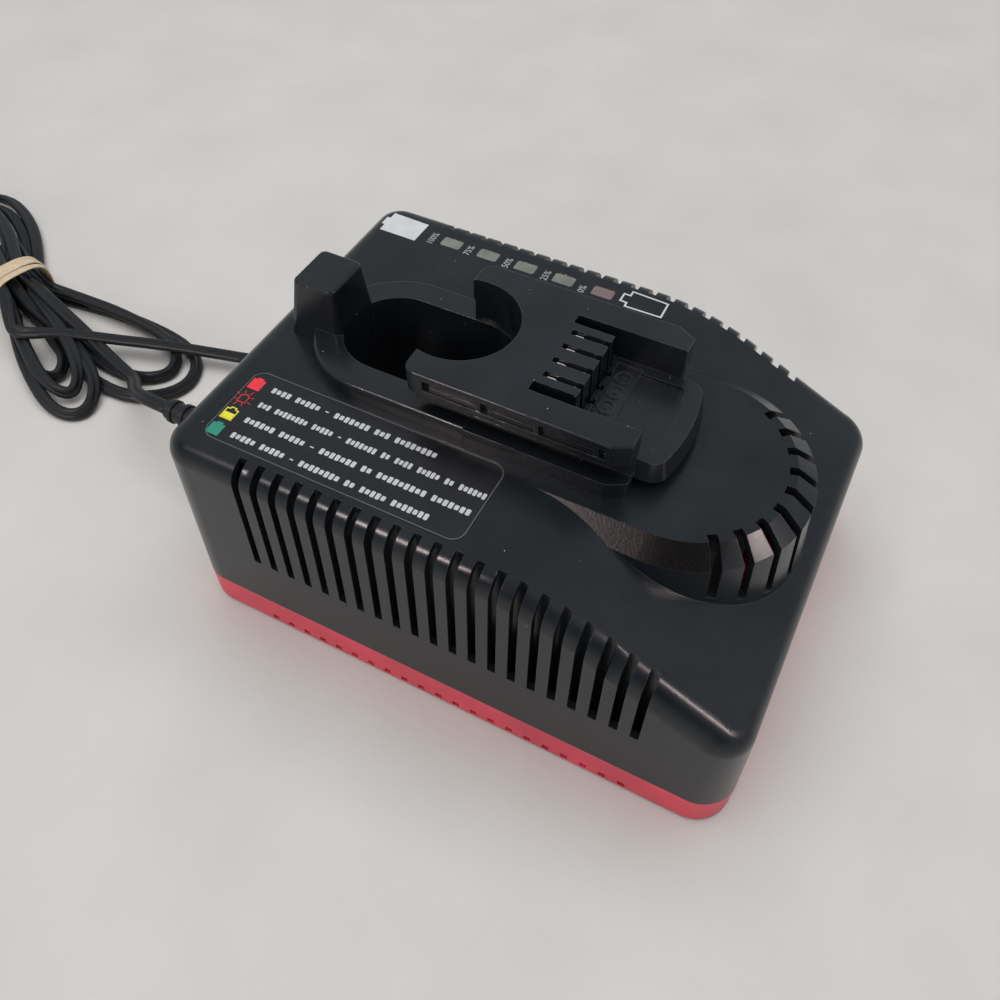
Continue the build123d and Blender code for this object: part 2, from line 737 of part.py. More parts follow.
# ------------------------------------------------------------------ slide dock
with BuildPart() as slide_dock:
    # plinth on the deck
    plinth_front = dock_front - plinth_step
    with BuildSketch(Plane.XY.offset(deck_height)):
        with BuildLine():
            Polyline(
                (-dock_half_width, joint_y - fit_gap),
                (-dock_half_width, plinth_front + front_corner_length),
                (-dock_half_width + front_corner_width, plinth_front),
                (dock_half_width - front_corner_width, plinth_front),
                (dock_half_width, plinth_front + front_corner_length),
                (dock_half_width, joint_y - fit_gap),
                close=True,
            )
        plinth_outline = make_face()
        fillet(plinth_outline.vertices().group_by(Axis.Y)[0:2], front_corner_radius)
    extrude(amount=ring_height)
    # web under the rails
    with BuildSketch(Plane.XY.offset(ring_top)):
        with Locations((0, (plinth_front + rail_end) / 2)):
            Rectangle(2 * dock_web_half_width, rail_end - plinth_front - bite)
    extrude(amount=rail_low - ring_top)
    # rails and bridge
    with BuildSketch(Plane.XY.offset(rail_low)):
        with BuildLine():
            Polyline(
                (-dock_half_width, rail_end),
                (-dock_half_width, dock_front + front_corner_length),
                (-dock_half_width + front_corner_width, dock_front),
                (dock_half_width - front_corner_width, dock_front),
                (dock_half_width, dock_front + front_corner_length),
                (dock_half_width, rail_end),
                close=True,
            )
        rail_outline = make_face()
        fillet(rail_outline.vertices().group_by(Axis.Y)[-1], rail_corner)
        fillet(rail_outline.vertices().group_by(Axis.Y)[0:2], front_corner_radius)
    extrude(amount=rail_high - rail_low)
    fillet(slide_dock.faces().sort_by(Axis.Z)[-1].edges(), rail_edge_radius)
    # cradle for the battery stem
    with BuildSketch(Plane.XY.offset(ring_top)):
        with Locations((0, cradle_y)):
            Circle(cradle_radius)
        with Locations((0, (cradle_y + rail_end + wall) / 2)):
            Rectangle(2 * pocket_half_width, rail_end + wall - cradle_y)
    extrude(amount=ring_height + rail_high - rail_low + rail_bottom, mode=Mode.SUBTRACT)
    with BuildSketch(Plane.XY.offset(deck_height)):
        with Locations((0, cradle_y)):
            Circle(pocket_half_width + pocket_wall + fit_gap)
    extrude(amount=ring_height, mode=Mode.SUBTRACT)
    # battery channel between the rails, open to the front
    with BuildSketch(Plane.XY.offset(channel_z)):
        with Locations((0, channel_back - channel_length / 2 - wall)):
            Rectangle(2 * channel_half_width, channel_length + 2 * wall)
    extrude(amount=rail_high - channel_z + bite, mode=Mode.SUBTRACT)
    # front lip: a bowed ledge that flares out to the deck
    lip_side = lip_half_width + lip_flare
    lip_front = dock_front - lip_length - lip_flare
    lip_shoulder = lip_front + lip_corner / 2
    with BuildSketch(Plane.XY.offset(deck_height)) as lip_foot:
        with BuildLine():
            Polyline(
                (lip_side, lip_shoulder),
                (lip_side, dock_front + 2 * wall),
                (-lip_side, dock_front + 2 * wall),
                (-lip_side, lip_shoulder),
            )
            ThreePointArc((-lip_side, lip_shoulder), (0, lip_front), (lip_side, lip_shoulder))
        make_face()
        fillet(lip_foot.vertices().group_by(Axis.Y)[0], lip_corner)
    extrude(lip_foot.sketch, amount=channel_floor, taper=degrees(atan2(lip_flare, channel_floor)))
    # recessed panels and ribs along the outside of both rails
    panel_front = dock_front + front_corner_length + rail_panel_front_gap
    panel_back = rail_end - rail_corner - rail_panel_back_gap
    panel_x = dock_half_width - rail_panel_depth / 2
    with BuildSketch(Plane.XY.offset(rail_low + rail_panel_lip)):
        with Locations(*[(side * (panel_x + bite), (panel_front + panel_back) / 2) for side in (-1, 1)]):
            Rectangle(rail_panel_depth + 2 * bite, panel_back - panel_front)
    extrude(amount=rail_panel_height, mode=Mode.SUBTRACT)
    rib_ys = [panel_back - (i + 1) * rail_rib_pitch for i in range(rail_rib_count)]
    with BuildSketch(Plane.XY.offset(rail_low + rail_panel_lip)):
        with Locations(*[(side * (panel_x - rail_rib_inset), y) for side in (-1, 1) for y in rib_ys]):
            Rectangle(rail_panel_depth, rail_rib_width)
    extrude(amount=rail_panel_height)
    # coring from below
    core_back = cradle_y - pocket_half_width - 2 * pocket_wall - fit_gap
    core_front = dock_front + 2 * dock_skin
    with BuildSketch(Plane.XY.offset(deck_height)):
        with Locations((0, (core_front + core_back) / 2)):
            Rectangle(2 * (channel_half_width - dock_skin), core_back - core_front)
    extrude(amount=dock_ceiling - deck_height, mode=Mode.SUBTRACT)
    block_front = channel_back + key_slot_length + dock_skin
    with BuildSketch(Plane.XY.offset(dock_ceiling)):
        with Locations((0, (block_front + core_back) / 2)):
            Rectangle(2 * (channel_half_width - dock_skin), core_back - block_front)
    extrude(amount=rail_high - dock_skin - dock_ceiling, mode=Mode.SUBTRACT)
    # contact slots right through, and a blind key slot at each side of them
    slot_xs = [(i - (contact_count - 1) / 2) * contact_pitch for i in range(contact_count)]
    with BuildSketch(Plane.XY.offset(dock_ceiling - bite)):
        with Locations(*[(x, channel_back + contact_slot_length / 2 - bite) for x in slot_xs]):
            Rectangle(contact_slot_width, contact_slot_length + 2 * bite)
    extrude(amount=rail_high, mode=Mode.SUBTRACT)
    key_x = channel_half_width - key_slot_width / 2
    with BuildSketch(Plane.XY.offset(channel_z)):
        with Locations(*[(side * key_x, channel_back + key_slot_length / 2 - bite) for side in (-1, 1)]):
            Rectangle(key_slot_width, key_slot_length + 2 * bite)
    extrude(amount=rail_high, mode=Mode.SUBTRACT)
    # parting groove, strip of mould marks and sunken tread in the channel floor
    with BuildSketch(Plane.XY.offset(channel_z - groove_depth)):
        with Locations((0, channel_back - groove_width / 2)):
            Rectangle(2 * channel_half_width, groove_width)
    extrude(amount=groove_depth, mode=Mode.SUBTRACT)
    strip_back = channel_back - 2 * groove_width
    strip_y = strip_back - mark_strip_length / 2
    mark_spots = [((i - (mark_count - 1) / 2) * mark_pitch, strip_y) for i in range(mark_count)]
    with BuildSketch(Plane.XY.offset(channel_z - mark_strip_depth)):
        with Locations((0, strip_y)):
            Rectangle(2 * mark_strip_half_width, mark_strip_length)
        with Locations(*mark_spots):
            Circle(mark_diameter / 2, mode=Mode.SUBTRACT)
            Circle(mark_diameter / 2 - mark_line)
            Circle(mark_pip / 2, mode=Mode.SUBTRACT)
    extrude(amount=mark_strip_depth, mode=Mode.SUBTRACT)
    tread_back = strip_back - mark_strip_length
    tread_front = dock_front - lip_length + tread_margin
    with BuildSketch(Plane.XY.offset(channel_z - tread_depth)):
        with BuildLine():
            Polyline(
                (tread_half_width, tread_front + tread_bow),
                (tread_half_width, tread_back),
                (-tread_half_width, tread_back),
                (-tread_half_width, tread_front + tread_bow),
            )
            ThreePointArc(
                (-tread_half_width, tread_front + tread_bow),
                (0, tread_front),
                (tread_half_width, tread_front + tread_bow),
            )
        tread = make_face()
        fillet(tread.vertices().group_by(Axis.Y)[0], tread_corner)
    extrude(amount=tread_depth, mode=Mode.SUBTRACT)
    with BuildSketch(Plane.XY.offset(deck_height)):
        with Locations(*[spot for spot in deck_screw_spots if spot[1] < joint_y]):
            Circle(small_screw_diameter / 2 + screw_gap)
    extrude(amount=ring_height - ring_edge_radius, mode=Mode.SUBTRACT)
write(slide_dock, "slide_dock")

deck_screws = screws(deck_screw_spots, ceiling, small_screw_diameter, small_screw_length, True)
write(deck_screws, "deck_screws")

# ------------------------------------------------------------------ battery contacts
contact_root_y = channel_back + contact_tip_gap + contact_reach
contact_low = dock_ceiling + 2 * fit_gap
with BuildPart() as contact_carrier:
    with BuildSketch(Plane.XY.offset(deck_height)):
        with Locations((0, carrier_y)):
            Rectangle(carrier_width, carrier_length)
    extrude(amount=carrier_height)
    chamfer(contact_carrier.edges().filter_by(Axis.Z), carrier_margin)
    with BuildSketch(Plane.XY.offset(deck_height - bite)):
        with Locations(*[(x + contact_side, contact_root_y) for x in slot_xs]):
            Rectangle(contact_thickness + 4 * fit_gap, contact_foot_length + 6 * fit_gap)
    extrude(amount=carrier_height + 2 * bite, mode=Mode.SUBTRACT)
write(contact_carrier, "contact_carrier")


def leaf_contact(x):
    """A strip standing on edge in its slot: straight foot and tab, a blade that swells to one side."""
    back = contact_root_y + contact_foot_length / 2
    front = contact_root_y - contact_foot_length / 2
    side = x + contact_side
    with BuildPart() as contact:
        with BuildSketch(Plane.XY.offset(contact_low)):
            with BuildLine():
                Line((side, back), (side, front))
                ThreePointArc(
                    (side, front),
                    (x - contact_swell, contact_root_y - contact_reach * contact_swell_place),
                    (x + contact_side / 2, contact_root_y - contact_reach),
                )
            trace(line_width=contact_thickness)
        extrude(amount=rail_high - contact_top_drop - contact_low)
        with BuildSketch(Plane.XY.offset(deck_height - tab_length)):
            with Locations((side, contact_root_y)):
                Rectangle(contact_thickness, contact_foot_length)
        extrude(amount=contact_low - deck_height + tab_length)
    return contact


for i, x in enumerate(slot_xs):
    write(leaf_contact(x), f"dock_contact_{i + 1}")


def stem_contact(x):
    """A strip standing in the pocket: it swells towards the battery stem and hinges at the floor."""
    foot_z = pocket_floor - pocket_wall - stem_contact_tail
    tip_z = pocket_floor + stem_contact_rise
    swell_z = pocket_floor + stem_contact_rise * stem_contact_swell_place
    with BuildPart() as contact:
        with BuildSketch(Plane(origin=(x, 0, 0), x_dir=(0, 1, 0), z_dir=(1, 0, 0))):
            with BuildLine():
                Line((stem_contact_y, foot_z), (stem_contact_y, pocket_floor))
                ThreePointArc(
                    (stem_contact_y, pocket_floor),
                    (stem_contact_y - stem_contact_swell, swell_z),
                    (stem_contact_y, tip_z),
                )
            trace(line_width=stem_contact_thickness)
        extrude(amount=stem_contact_width / 2, both=True)
    return contact


for i, x in enumerate(stem_slot_xs):
    write(stem_contact(x), f"stem_contact_{i + 1}")

# ------------------------------------------------------------------ label, light windows, lamps
with BuildPart() as status_label:
    with BuildSketch(Plane.XY.offset(deck_height - label_recess)):
        with Locations((label_x, label_y)):
            RectangleRounded(label_width, label_length, label_corner)
    extrude(amount=label_thickness)
write(status_label, "status_label")

with BuildPart() as light_windows:
    with BuildSketch(Plane.XY.offset(ceiling - lamp_bar_thickness)):
        with Locations((lamp_x, lamp_mid_y)):
            Rectangle(lamp_bar_width, lamp_bar_length)
    extrude(amount=lamp_bar_thickness)
    with BuildSketch(Plane.XY.offset(ceiling)):
        with Locations(*[(lamp_x, y) for y in lamp_ys]):
            RectangleRounded(lamp_window_width, lamp_window_length, lamp_window_corner)
    extrude(amount=wall - fit_gap)
write(light_windows, "light_windows")

lamp_board_top = ceiling - lamp_board_depth
lamp_board_length = lamp_screw_ys[0] - lamp_screw_ys[1] + board_boss_diameter + 2 * boss_edge
with BuildPart() as lamp_board:
    with BuildSketch(Plane.XY.offset(lamp_board_top - board_thickness)):
        with Locations((lamp_x, lamp_mid_y)):
            Rectangle(lamp_board_width, lamp_board_length)
        with Locations(*[(lamp_x, y) for y in lamp_screw_ys]):
            Circle(small_screw_diameter / 2 + screw_gap, mode=Mode.SUBTRACT)
    extrude(amount=board_thickness)
write(lamp_board, "lamp_board")

with BuildPart() as lamps:
    with BuildSketch(Plane.XY.offset(lamp_board_top)):
        with Locations(*[(lamp_x, y) for y in lamp_ys]):
            Circle(lamp_diameter / 2)
    extrude(amount=lamp_board_depth - lamp_bar_thickness - 2 * fit_gap)
    fillet(lamps.faces().group_by(Axis.Z)[-1].edges(), lamp_diameter / 2 - lamp_tip_flat)
    with BuildSketch(Plane.XY.offset(lamp_board_top)):
        with Locations(*[(lamp_x, y) for y in lamp_ys]):
            Circle(lamp_diameter / 2 + lamp_flange)
    extrude(amount=lamp_flange_height)
write(lamps, "lamps")

# ------------------------------------------------------------------ circuit board and what stands on it
board_top = board_height + board_thickness
with BuildPart() as main_board:
    with BuildSketch(Plane.XY.offset(board_height)):
        with Locations((0, board_y)):
            Rectangle(board_width, board_length)
        with Locations(*board_spots):
            Circle(small_screw_diameter / 2 + screw_gap, mode=Mode.SUBTRACT)
    extrude(amount=board_thickness)
write(main_board, "main_board")

board_screws = screws(board_spots, board_top, small_screw_diameter, small_screw_length, False)
write(board_screws, "board_screws")
lamp_screw_spots = [(lamp_x, y) for y in lamp_screw_ys]
lamp_screws = screws(
    lamp_screw_spots, lamp_board_top - board_thickness, small_screw_diameter, small_screw_length, True
)
write(lamp_screws, "lamp_screws")

can_x = -board_width / 2 + can_diameter
can_ys = [board_y - can_spacing / 2, board_y + can_spacing / 2]
with BuildPart() as capacitors:
    with BuildSketch(Plane.XY.offset(board_top)):
        with Locations(*[(can_x, y) for y in can_ys]):
            Circle(can_diameter / 2)
    extrude(amount=can_height)
    fillet(capacitors.edges(), can_edge_radius)
write(capacitors, "capacitors")

sink_x = board_width / 2 - sink_edge_gap
with BuildPart() as heatsink:
    with BuildSketch(Plane.XY.offset(board_top)):
        with Locations((sink_x, board_y)):
            Rectangle(sink_thickness, sink_length)
        with Locations((sink_x + sink_fin_depth / 2, board_y)):
            with GridLocations(1.0, sink_length / sink_fin_count, 1, sink_fin_count):
                Rectangle(sink_fin_depth, sink_thickness / 2)
    extrude(amount=sink_height)
write(heatsink, "heatsink")

transistor_x = sink_x - sink_thickness / 2 - transistor_thickness / 2
transistor_low = board_top + transistor_leg_length
with BuildPart() as power_transistors:
    for y in (board_y - sink_length / 4, board_y + sink_length / 4):
        with BuildSketch(Plane.XY.offset(transistor_low)):
            with Locations((transistor_x, y)):
                Rectangle(transistor_thickness, transistor_width)
        extrude(amount=transistor_height)
        with BuildSketch(Plane.XY.offset(board_top)):
            with Locations((transistor_x, y)):
                with GridLocations(1.0, transistor_width / 3, 1, 3):
                    Rectangle(leg_thickness, leg_width)
        extrude(amount=transistor_low - board_top)
    chamfer(power_transistors.faces().group_by(Axis.Z)[-1].edges(), leg_thickness)
write(power_transistors, "power_transistors")

rectifier_y = board_front + edge_gap
with BuildPart() as rectifier:
    with BuildSketch(Plane.XY.offset(board_top + rectifier_leg_length)):
        with Locations((sink_x, rectifier_y)):
            Rectangle(rectifier_width, rectifier_thickness)
    extrude(amount=rectifier_height)
    chamfer(rectifier.edges().filter_by(Axis.Z).sort_by(Axis.X)[-1], rectifier_key)
    with BuildSketch(Plane.XY.offset(board_top)):
        with Locations((sink_x, rectifier_y)):
            with GridLocations(rectifier_width / 4, 1.0, 4, 1):
                Rectangle(leg_width, leg_thickness)
    extrude(amount=rectifier_leg_length)
write(rectifier, "rectifier")

fuse_y = board_back - fuse_edge_gap
fuse_z = board_top + fuse_diameter / 2 + fuse_rise
with BuildPart() as fuse:
    with BuildSketch(Plane(origin=(can_x - fuse_length / 2, fuse_y, fuse_z), z_dir=(1, 0, 0))):
        Circle(fuse_diameter / 2)
    extrude(amount=fuse_length)
    chamfer(fuse.edges(), fuse_diameter / 16)
write(fuse, "fuse")

with BuildPart() as fuse_clips:
    with BuildSketch(Plane.XY.offset(board_top)):
        with Locations((can_x, fuse_y)):
            with GridLocations(fuse_length - clip_width, 1.0, 2, 1):
                Rectangle(clip_width, fuse_diameter + 2 * clip_wall)
    extrude(amount=fuse_z - board_top + clip_grip)
    with BuildSketch(Plane(origin=(can_x - fuse_length, fuse_y, fuse_z), z_dir=(1, 0, 0))):
        Circle(fuse_diameter / 2 + screw_gap)
    extrude(amount=2 * fuse_length, mode=Mode.SUBTRACT)
    with BuildSketch(Plane.XY.offset(fuse_z)):
        with Locations((can_x, fuse_y)):
            Rectangle(2 * fuse_length, fuse_diameter - clip_grip)
    extrude(amount=fuse_diameter, mode=Mode.SUBTRACT)
write(fuse_clips, "fuse_clips")

header_y = board_front + header_edge_gap
with BuildPart() as wire_header:
    with BuildSketch(Plane.XY.offset(board_top)):
        with Locations((0, header_y)):
            Rectangle(contact_count * contact_pitch + 2 * header_margin, header_width)
    extrude(amount=header_height)
    chamfer(wire_header.edges().filter_by(Axis.Z), header_margin / 2)
write(wire_header, "wire_header")

# ------------------------------------------------------------------ transformer
core_top = core_low + core_height
core_mid = core_low + core_height / 2
with BuildPart() as transformer_core:
    with BuildSketch(Plane(origin=(0, core_y, core_mid), x_dir=(1, 0, 0), z_dir=(0, -1, 0))):
        Rectangle(core_width, core_height)
        with GridLocations(core_leg + core_window_width, 1.0, 2, 1):
            Rectangle(core_window_width, core_window_height, mode=Mode.SUBTRACT)
    extrude(amount=core_depth / 2, both=True)
write(transformer_core, "transformer_core")

with BuildPart() as transformer_winding:
    with BuildSketch(Plane.XY.offset(core_mid - core_window_height / 2 + fit_gap)):
        with Locations((0, core_y)):
            RectangleRounded(core_leg + 2 * (core_window_width - winding_gap), winding_depth, winding_corner)
            Rectangle(core_leg + 2 * fit_gap, core_depth + 2 * fit_gap, mode=Mode.SUBTRACT)
    extrude(amount=core_window_height - 2 * fit_gap)
write(transformer_winding, "transformer_winding")

with BuildPart() as transformer_strap:
    with BuildSketch(Plane(origin=(0, core_y, 0), x_dir=(1, 0, 0), z_dir=(0, -1, 0))):
        inner = core_width / 2 + fit_gap
        outer = inner + strap_thickness
        foot_end = outer + strap_foot
        foot_top = core_low + strap_thickness
        with BuildLine():
            Polyline(
                (-foot_end, core_low),
                (-inner, core_low),
                (-inner, core_top),
                (inner, core_top),
                (inner, core_low),
                (foot_end, core_low),
                (foot_end, foot_top),
                (outer, foot_top),
                (outer, core_top + strap_thickness),
                (-outer, core_top + strap_thickness),
                (-outer, foot_top),
                (-foot_end, foot_top),
                close=True,
            )
        make_face()
    extrude(amount=strap_width / 2, both=True)
    with BuildSketch(Plane.XY.offset(core_low)):
        with Locations(*strap_spots):
            Circle(small_screw_diameter / 2 + screw_gap)
    extrude(amount=2 * strap_thickness, mode=Mode.SUBTRACT)
write(transformer_strap, "transformer_strap")

strap_seat = core_low + strap_thickness
strap_screws = screws(strap_spots, strap_seat, small_screw_diameter, small_screw_length, False)
write(strap_screws, "strap_screws")

# ------------------------------------------------------------------ inside wiring
tab_low = deck_height - tab_length - 2 * fit_gap
header_top = board_top + header_height
contact_routes = [
    [
        (x + contact_side, contact_root_y, tab_low),
        (x + contact_side, contact_root_y, tab_low - lead_drop),
        (x, (contact_root_y + header_y) / 2, (tab_low + header_top) / 2),
        (x, header_y, header_top + lead_drop),
        (x, header_y, header_top),
    ]
    for x in slot_xs
]
contact_leads = round_leads(contact_routes, lead_diameter)
write(contact_leads, "contact_leads")

stem_tail_z = pocket_floor - pocket_wall - stem_contact_tail - 2 * fit_gap
with BuildPart() as stem_leads:
    with BuildSketch(Plane.XY.offset(board_top)):
        with Locations(*[(x, stem_contact_y) for x in stem_slot_xs]):
            Circle(lead_diameter / 2)
    extrude(amount=stem_tail_z - board_top)
write(stem_leads, "stem_leads")

lamp_board_low = lamp_board_top - board_thickness
# the lamp leads land inside both the board's edge and the inner wall
lamp_lead_x = min(board_width / 2, baffle_x - baffle_thickness / 2) - lead_spacing
lamp_routes = [
    [
        (lamp_x, lamp_mid_y + dy, lamp_board_low),
        (lamp_x, lamp_mid_y + dy, lamp_board_low - lead_drop),
        (lamp_lead_x, lamp_mid_y + dy, board_top + lead_drop),
        (lamp_lead_x, lamp_mid_y + dy, board_top),
    ]
    for dy in (-lead_spacing, 0.0, lead_spacing)
]
lamp_leads = round_leads(lamp_routes, lead_diameter)
write(lamp_leads, "lamp_leads")

relief_inside = back_face - wall - relief_gap - relief_flange_thickness
mains_land_y = fuse_y + mains_lead_reach
mains_routes = [
    [
        (relief_x + dx, relief_inside, relief_height),
        (relief_x + dx, relief_inside - mains_lead_exit, relief_height),
        (relief_x + dx, mains_land_y, relief_height - mains_lead_exit),
        (relief_x + dx, mains_land_y, board_top),
    ]
    for dx in (-mains_lead_spacing / 2, mains_lead_spacing / 2)
]
mains_leads = round_leads(mains_routes, lead_diameter)
write(mains_leads, "mains_leads")

winding_exit_z = core_mid - winding_lead_drop
transformer_routes = [
    [
        (side * start, winding_face, winding_exit_z),
        (side * start, winding_face + winding_lead_reach, winding_exit_z),
        (side * (start + winding_lead_spread), header_y, winding_exit_z - lead_spacing),
        (side * (start + winding_lead_spread), header_y, board_top),
    ]
    for side in (-1, 1)
    for start in winding_lead_starts
]
transformer_leads = round_leads(transformer_routes, lead_diameter)
write(transformer_leads, "transformer_leads")

# ------------------------------------------------------------------ strain relief
relief_plane = Plane(origin=(relief_x, back_face, relief_height), x_dir=(0, 1, 0), z_dir=(1, 0, 0))
neck = relief_root_diameter / 2 - relief_neck_step
inner_face = -wall - relief_gap
with BuildPart() as strain_relief:
    with BuildSketch(relief_plane):
        with BuildLine():
            Polyline(
                (inner_face - relief_flange_thickness, 0),
                (inner_face - relief_flange_thickness, relief_flange / 2),
                (inner_face, relief_flange / 2),
                (inner_face, neck),
                (relief_gap, neck),
                (relief_gap, relief_root_diameter / 2),
                (relief_length, relief_tip_diameter / 2),
                (relief_length, 0),
                close=True,
            )
        make_face()
    revolve(axis=Axis((relief_x, back_face, relief_height), (0, 1, 0)))
    for i in range(collar_count):
        along = relief_length * (collar_start + collar_share * i / (collar_count - 1))
        share = along / relief_length
        radius = (relief_root_diameter * (1 - share) + relief_tip_diameter * share) / 2
        with BuildSketch(Plane(origin=(relief_x, back_face + along, relief_height), z_dir=(0, 1, 0))):
            Circle(radius + collar_rise)
        extrude(amount=collar_thickness)
write(strain_relief, "strain_relief")

# ------------------------------------------------------------------ mains cord
relief_tip = (relief_x, back_face + relief_length, relief_height)
plug_tip = (33.5, 174.0, plug_height / 2)
cord_lead_route = [
    relief_tip,
    (relief_x, back_face + relief_length + 12.0, relief_height),
    (-24.5, 193.0, 28.5),
    (-14.0, 206.0, 19.0),
    (-5.0, 219.0, 9.0),
]
cord_tail_route = [(12.0, 246.0, 9.0), (19.5, 222.0, 9.5), (27.5, 198.0, plug_tip[2]), plug_tip]

# outline of the tied hank, anticlockwise: loops at the charger end, throat, loops at the far end
throat_centre = (20.0, 317.0)
throat_turn = -16.3
throat_across = (cos(radians(throat_turn)), sin(radians(throat_turn)), 0)
throat_plane = Plane(origin=(*throat_centre, 0), x_dir=throat_across)


def throat_point(side, end):
    """One corner of the straight stretch that the rubber band holds together."""
    spot = throat_plane.from_local_coords((side * hank_throat / 2, end * band_width, 0))
    return (spot.X, spot.Y)


hank_outline = [
    (31.5, 206.0), (34.5, 230.0), (34.0, 264.0), throat_point(1, -1), throat_point(1, 1), (62.0, 334.0),
    (80.0, 352.0), (87.0, 378.0), (86.0, 404.0), (76.0, 422.0), (58.0, 430.0), (41.0, 422.0),
    (26.0, 398.0), (14.0, 366.0), throat_point(-1, 1), throat_point(-1, -1), (-14.0, 292.0),
    (-32.0, 266.0), (-43.0, 243.0), (-43.0, 226.0), (-34.0, 215.0), (-21.0, 211.0), (-18.0, 196.0),
    (-6.0, 188.0), (12.0, 188.0), (25.0, 194.0),
]


def flat_tube(points):
    """The flat twin lead along a route, lying on its broad side."""
    path = route(points)
    heading = path % 0
    across = Vector(0, 0, 1).cross(heading)
    with BuildPart() as tube:
        with BuildSketch(Plane(origin=path @ 0, x_dir=across, z_dir=heading)) as section:
            SlotOverall(cord_width, cord_thickness)
        sweep(section.sketch, path=path)
    length = sum(edge.length for edge in path.edges())
    print("tube radii", [round(radius, 1) for radius in bend_radii(points)], "length", round(length, 1))
    print("tube volume over section times length", tube.part.volume / (section.sketch.area * length))
    return tube


with BuildPart() as cord_hank:
    with BuildSketch():
        with BuildLine():
            Polyline(*hank_outline, close=True)
        hank_face = make_face()
        fillet(hank_face.vertices(), hank_corner)
    extrude(amount=hank_height)
    with BuildSketch(throat_plane):
        Rectangle(hank_throat + 4 * wall, band_width)
    extrude(amount=band_thickness, mode=Mode.SUBTRACT)
write(cord_hank, "cord_hank")

lead_tube = flat_tube(cord_lead_route)
with BuildPart() as cord_lead:
    add(lead_tube.part)
    add(cord_hank.part, mode=Mode.SUBTRACT)
tail_tube = flat_tube(cord_tail_route)
with BuildPart() as cord_tail:
    add(tail_tube.part)
    add(cord_hank.part, mode=Mode.SUBTRACT)
write(cord_lead, "cord_lead")
write(cord_tail, "cord_tail")

with BuildPart() as rubber_band:
    with BuildSketch(throat_plane):
        Rectangle(hank_throat + 2 * band_thickness, band_width)
    extrude(amount=hank_height + band_thickness)
    with BuildSketch(throat_plane.offset(band_thickness)):
        Rectangle(hank_throat, 2 * band_width)
    extrude(amount=hank_height - band_thickness, mode=Mode.SUBTRACT)
write(rubber_band, "rubber_band")

# ------------------------------------------------------------------ plug
plug_heading = Vector(*plug_tip) - Vector(*cord_tail_route[-2])
plug_heading = Vector(plug_heading.X, plug_heading.Y, 0).normalized()
plug_plane = Plane(origin=plug_tip, x_dir=Vector(0, 0, 1).cross(plug_heading), z_dir=plug_heading)
with BuildPart() as plug_body:
    with BuildSketch(plug_plane) as neck_start:
        RectangleRounded(cord_width + 2 * plug_sleeve, cord_thickness + 2 * plug_sleeve, plug_sleeve_corner)
    with BuildSketch(plug_plane.offset(plug_neck)) as neck_end:
        RectangleRounded(plug_width * plug_waist_width, plug_height * plug_waist_height, plug_waist_corner)
    with BuildSketch(plug_plane.offset(plug_neck + plug_length * plug_shoulder)) as shoulder:
        RectangleRounded(plug_width, plug_height, plug_corner)
    with BuildSketch(plug_plane.offset(plug_neck + plug_length)) as face:
        RectangleRounded(plug_width, plug_height, plug_corner)
    loft([neck_start.sketch, neck_end.sketch], ruled=True)
    loft([neck_end.sketch, shoulder.sketch, face.sketch], ruled=True)
write(plug_body, "plug_body")

with BuildPart() as plug_blades:
    with BuildSketch(plug_plane.offset(plug_neck + plug_length)):
        with GridLocations(blade_spacing, 1.0, 2, 1):
            Rectangle(blade_thickness, blade_width)
    extrude(amount=blade_length)
    chamfer(plug_blades.faces().sort_by(SortBy.AREA)[0:2].edges(), blade_thickness / 4)
write(plug_blades, "plug_blades")
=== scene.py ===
# %% [markdown]
# # A desktop charger for tool batteries
# A charger like this is two moulded shells, a black one over a red one, with a separate dock and
# socket screwed onto its deck and a flat twin lead that has been wound up and tied with a rubber
# band. Every hard part already stands at its real size in a packed construction model. This lesson
# loads that model as a fixed frame and gives it its looks: the lead and its band, the print on the
# deck, and one procedural finish for every material.

# %% Load the construction model
from math import acos, cos, pi, radians, sin

import bmesh
import bpy
import numpy as np
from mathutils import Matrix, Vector


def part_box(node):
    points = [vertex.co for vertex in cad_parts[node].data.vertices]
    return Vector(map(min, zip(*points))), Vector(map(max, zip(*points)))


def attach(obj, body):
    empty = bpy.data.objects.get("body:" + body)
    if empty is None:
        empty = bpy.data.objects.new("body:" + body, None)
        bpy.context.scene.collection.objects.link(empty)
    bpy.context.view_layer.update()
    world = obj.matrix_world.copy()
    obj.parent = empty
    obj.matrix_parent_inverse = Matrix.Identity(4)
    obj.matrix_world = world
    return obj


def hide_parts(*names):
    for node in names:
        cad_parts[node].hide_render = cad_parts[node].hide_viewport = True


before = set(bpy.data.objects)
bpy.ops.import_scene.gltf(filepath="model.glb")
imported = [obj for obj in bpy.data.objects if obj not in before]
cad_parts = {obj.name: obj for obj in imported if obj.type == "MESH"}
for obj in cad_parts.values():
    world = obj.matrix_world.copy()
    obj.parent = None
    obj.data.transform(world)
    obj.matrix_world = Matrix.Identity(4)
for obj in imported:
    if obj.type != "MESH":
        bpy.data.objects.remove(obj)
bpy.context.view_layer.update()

mm = 0.001
scene = bpy.context.scene

# %% [markdown]
# ## The camera
# The camera looks down on the charger's label side from about forty centimetres. A real lens of
# 33 mm on a full-size sensor gives the same perspective as a phone held over a table. The three
# angles are written in degrees because that is how one reads a tripod head.

# %% Set up the camera
camera_data = bpy.data.cameras.new("camera")
camera_data.sensor_width = 36.0
camera_data.lens = 33.45
camera_data.clip_start = 0.01
camera = bpy.data.objects.new("camera", camera_data)
camera.location = (-0.2150, -0.0959, 0.3375)
camera.rotation_euler = [radians(turn) for turn in (37.702, 0.051, -62.648)]
scene.collection.objects.link(camera)
scene.camera = camera
scene.view_settings.view_transform = "Standard"
print("camera at", tuple(round(side, 4) for side in camera.location), "lens", camera_data.lens)

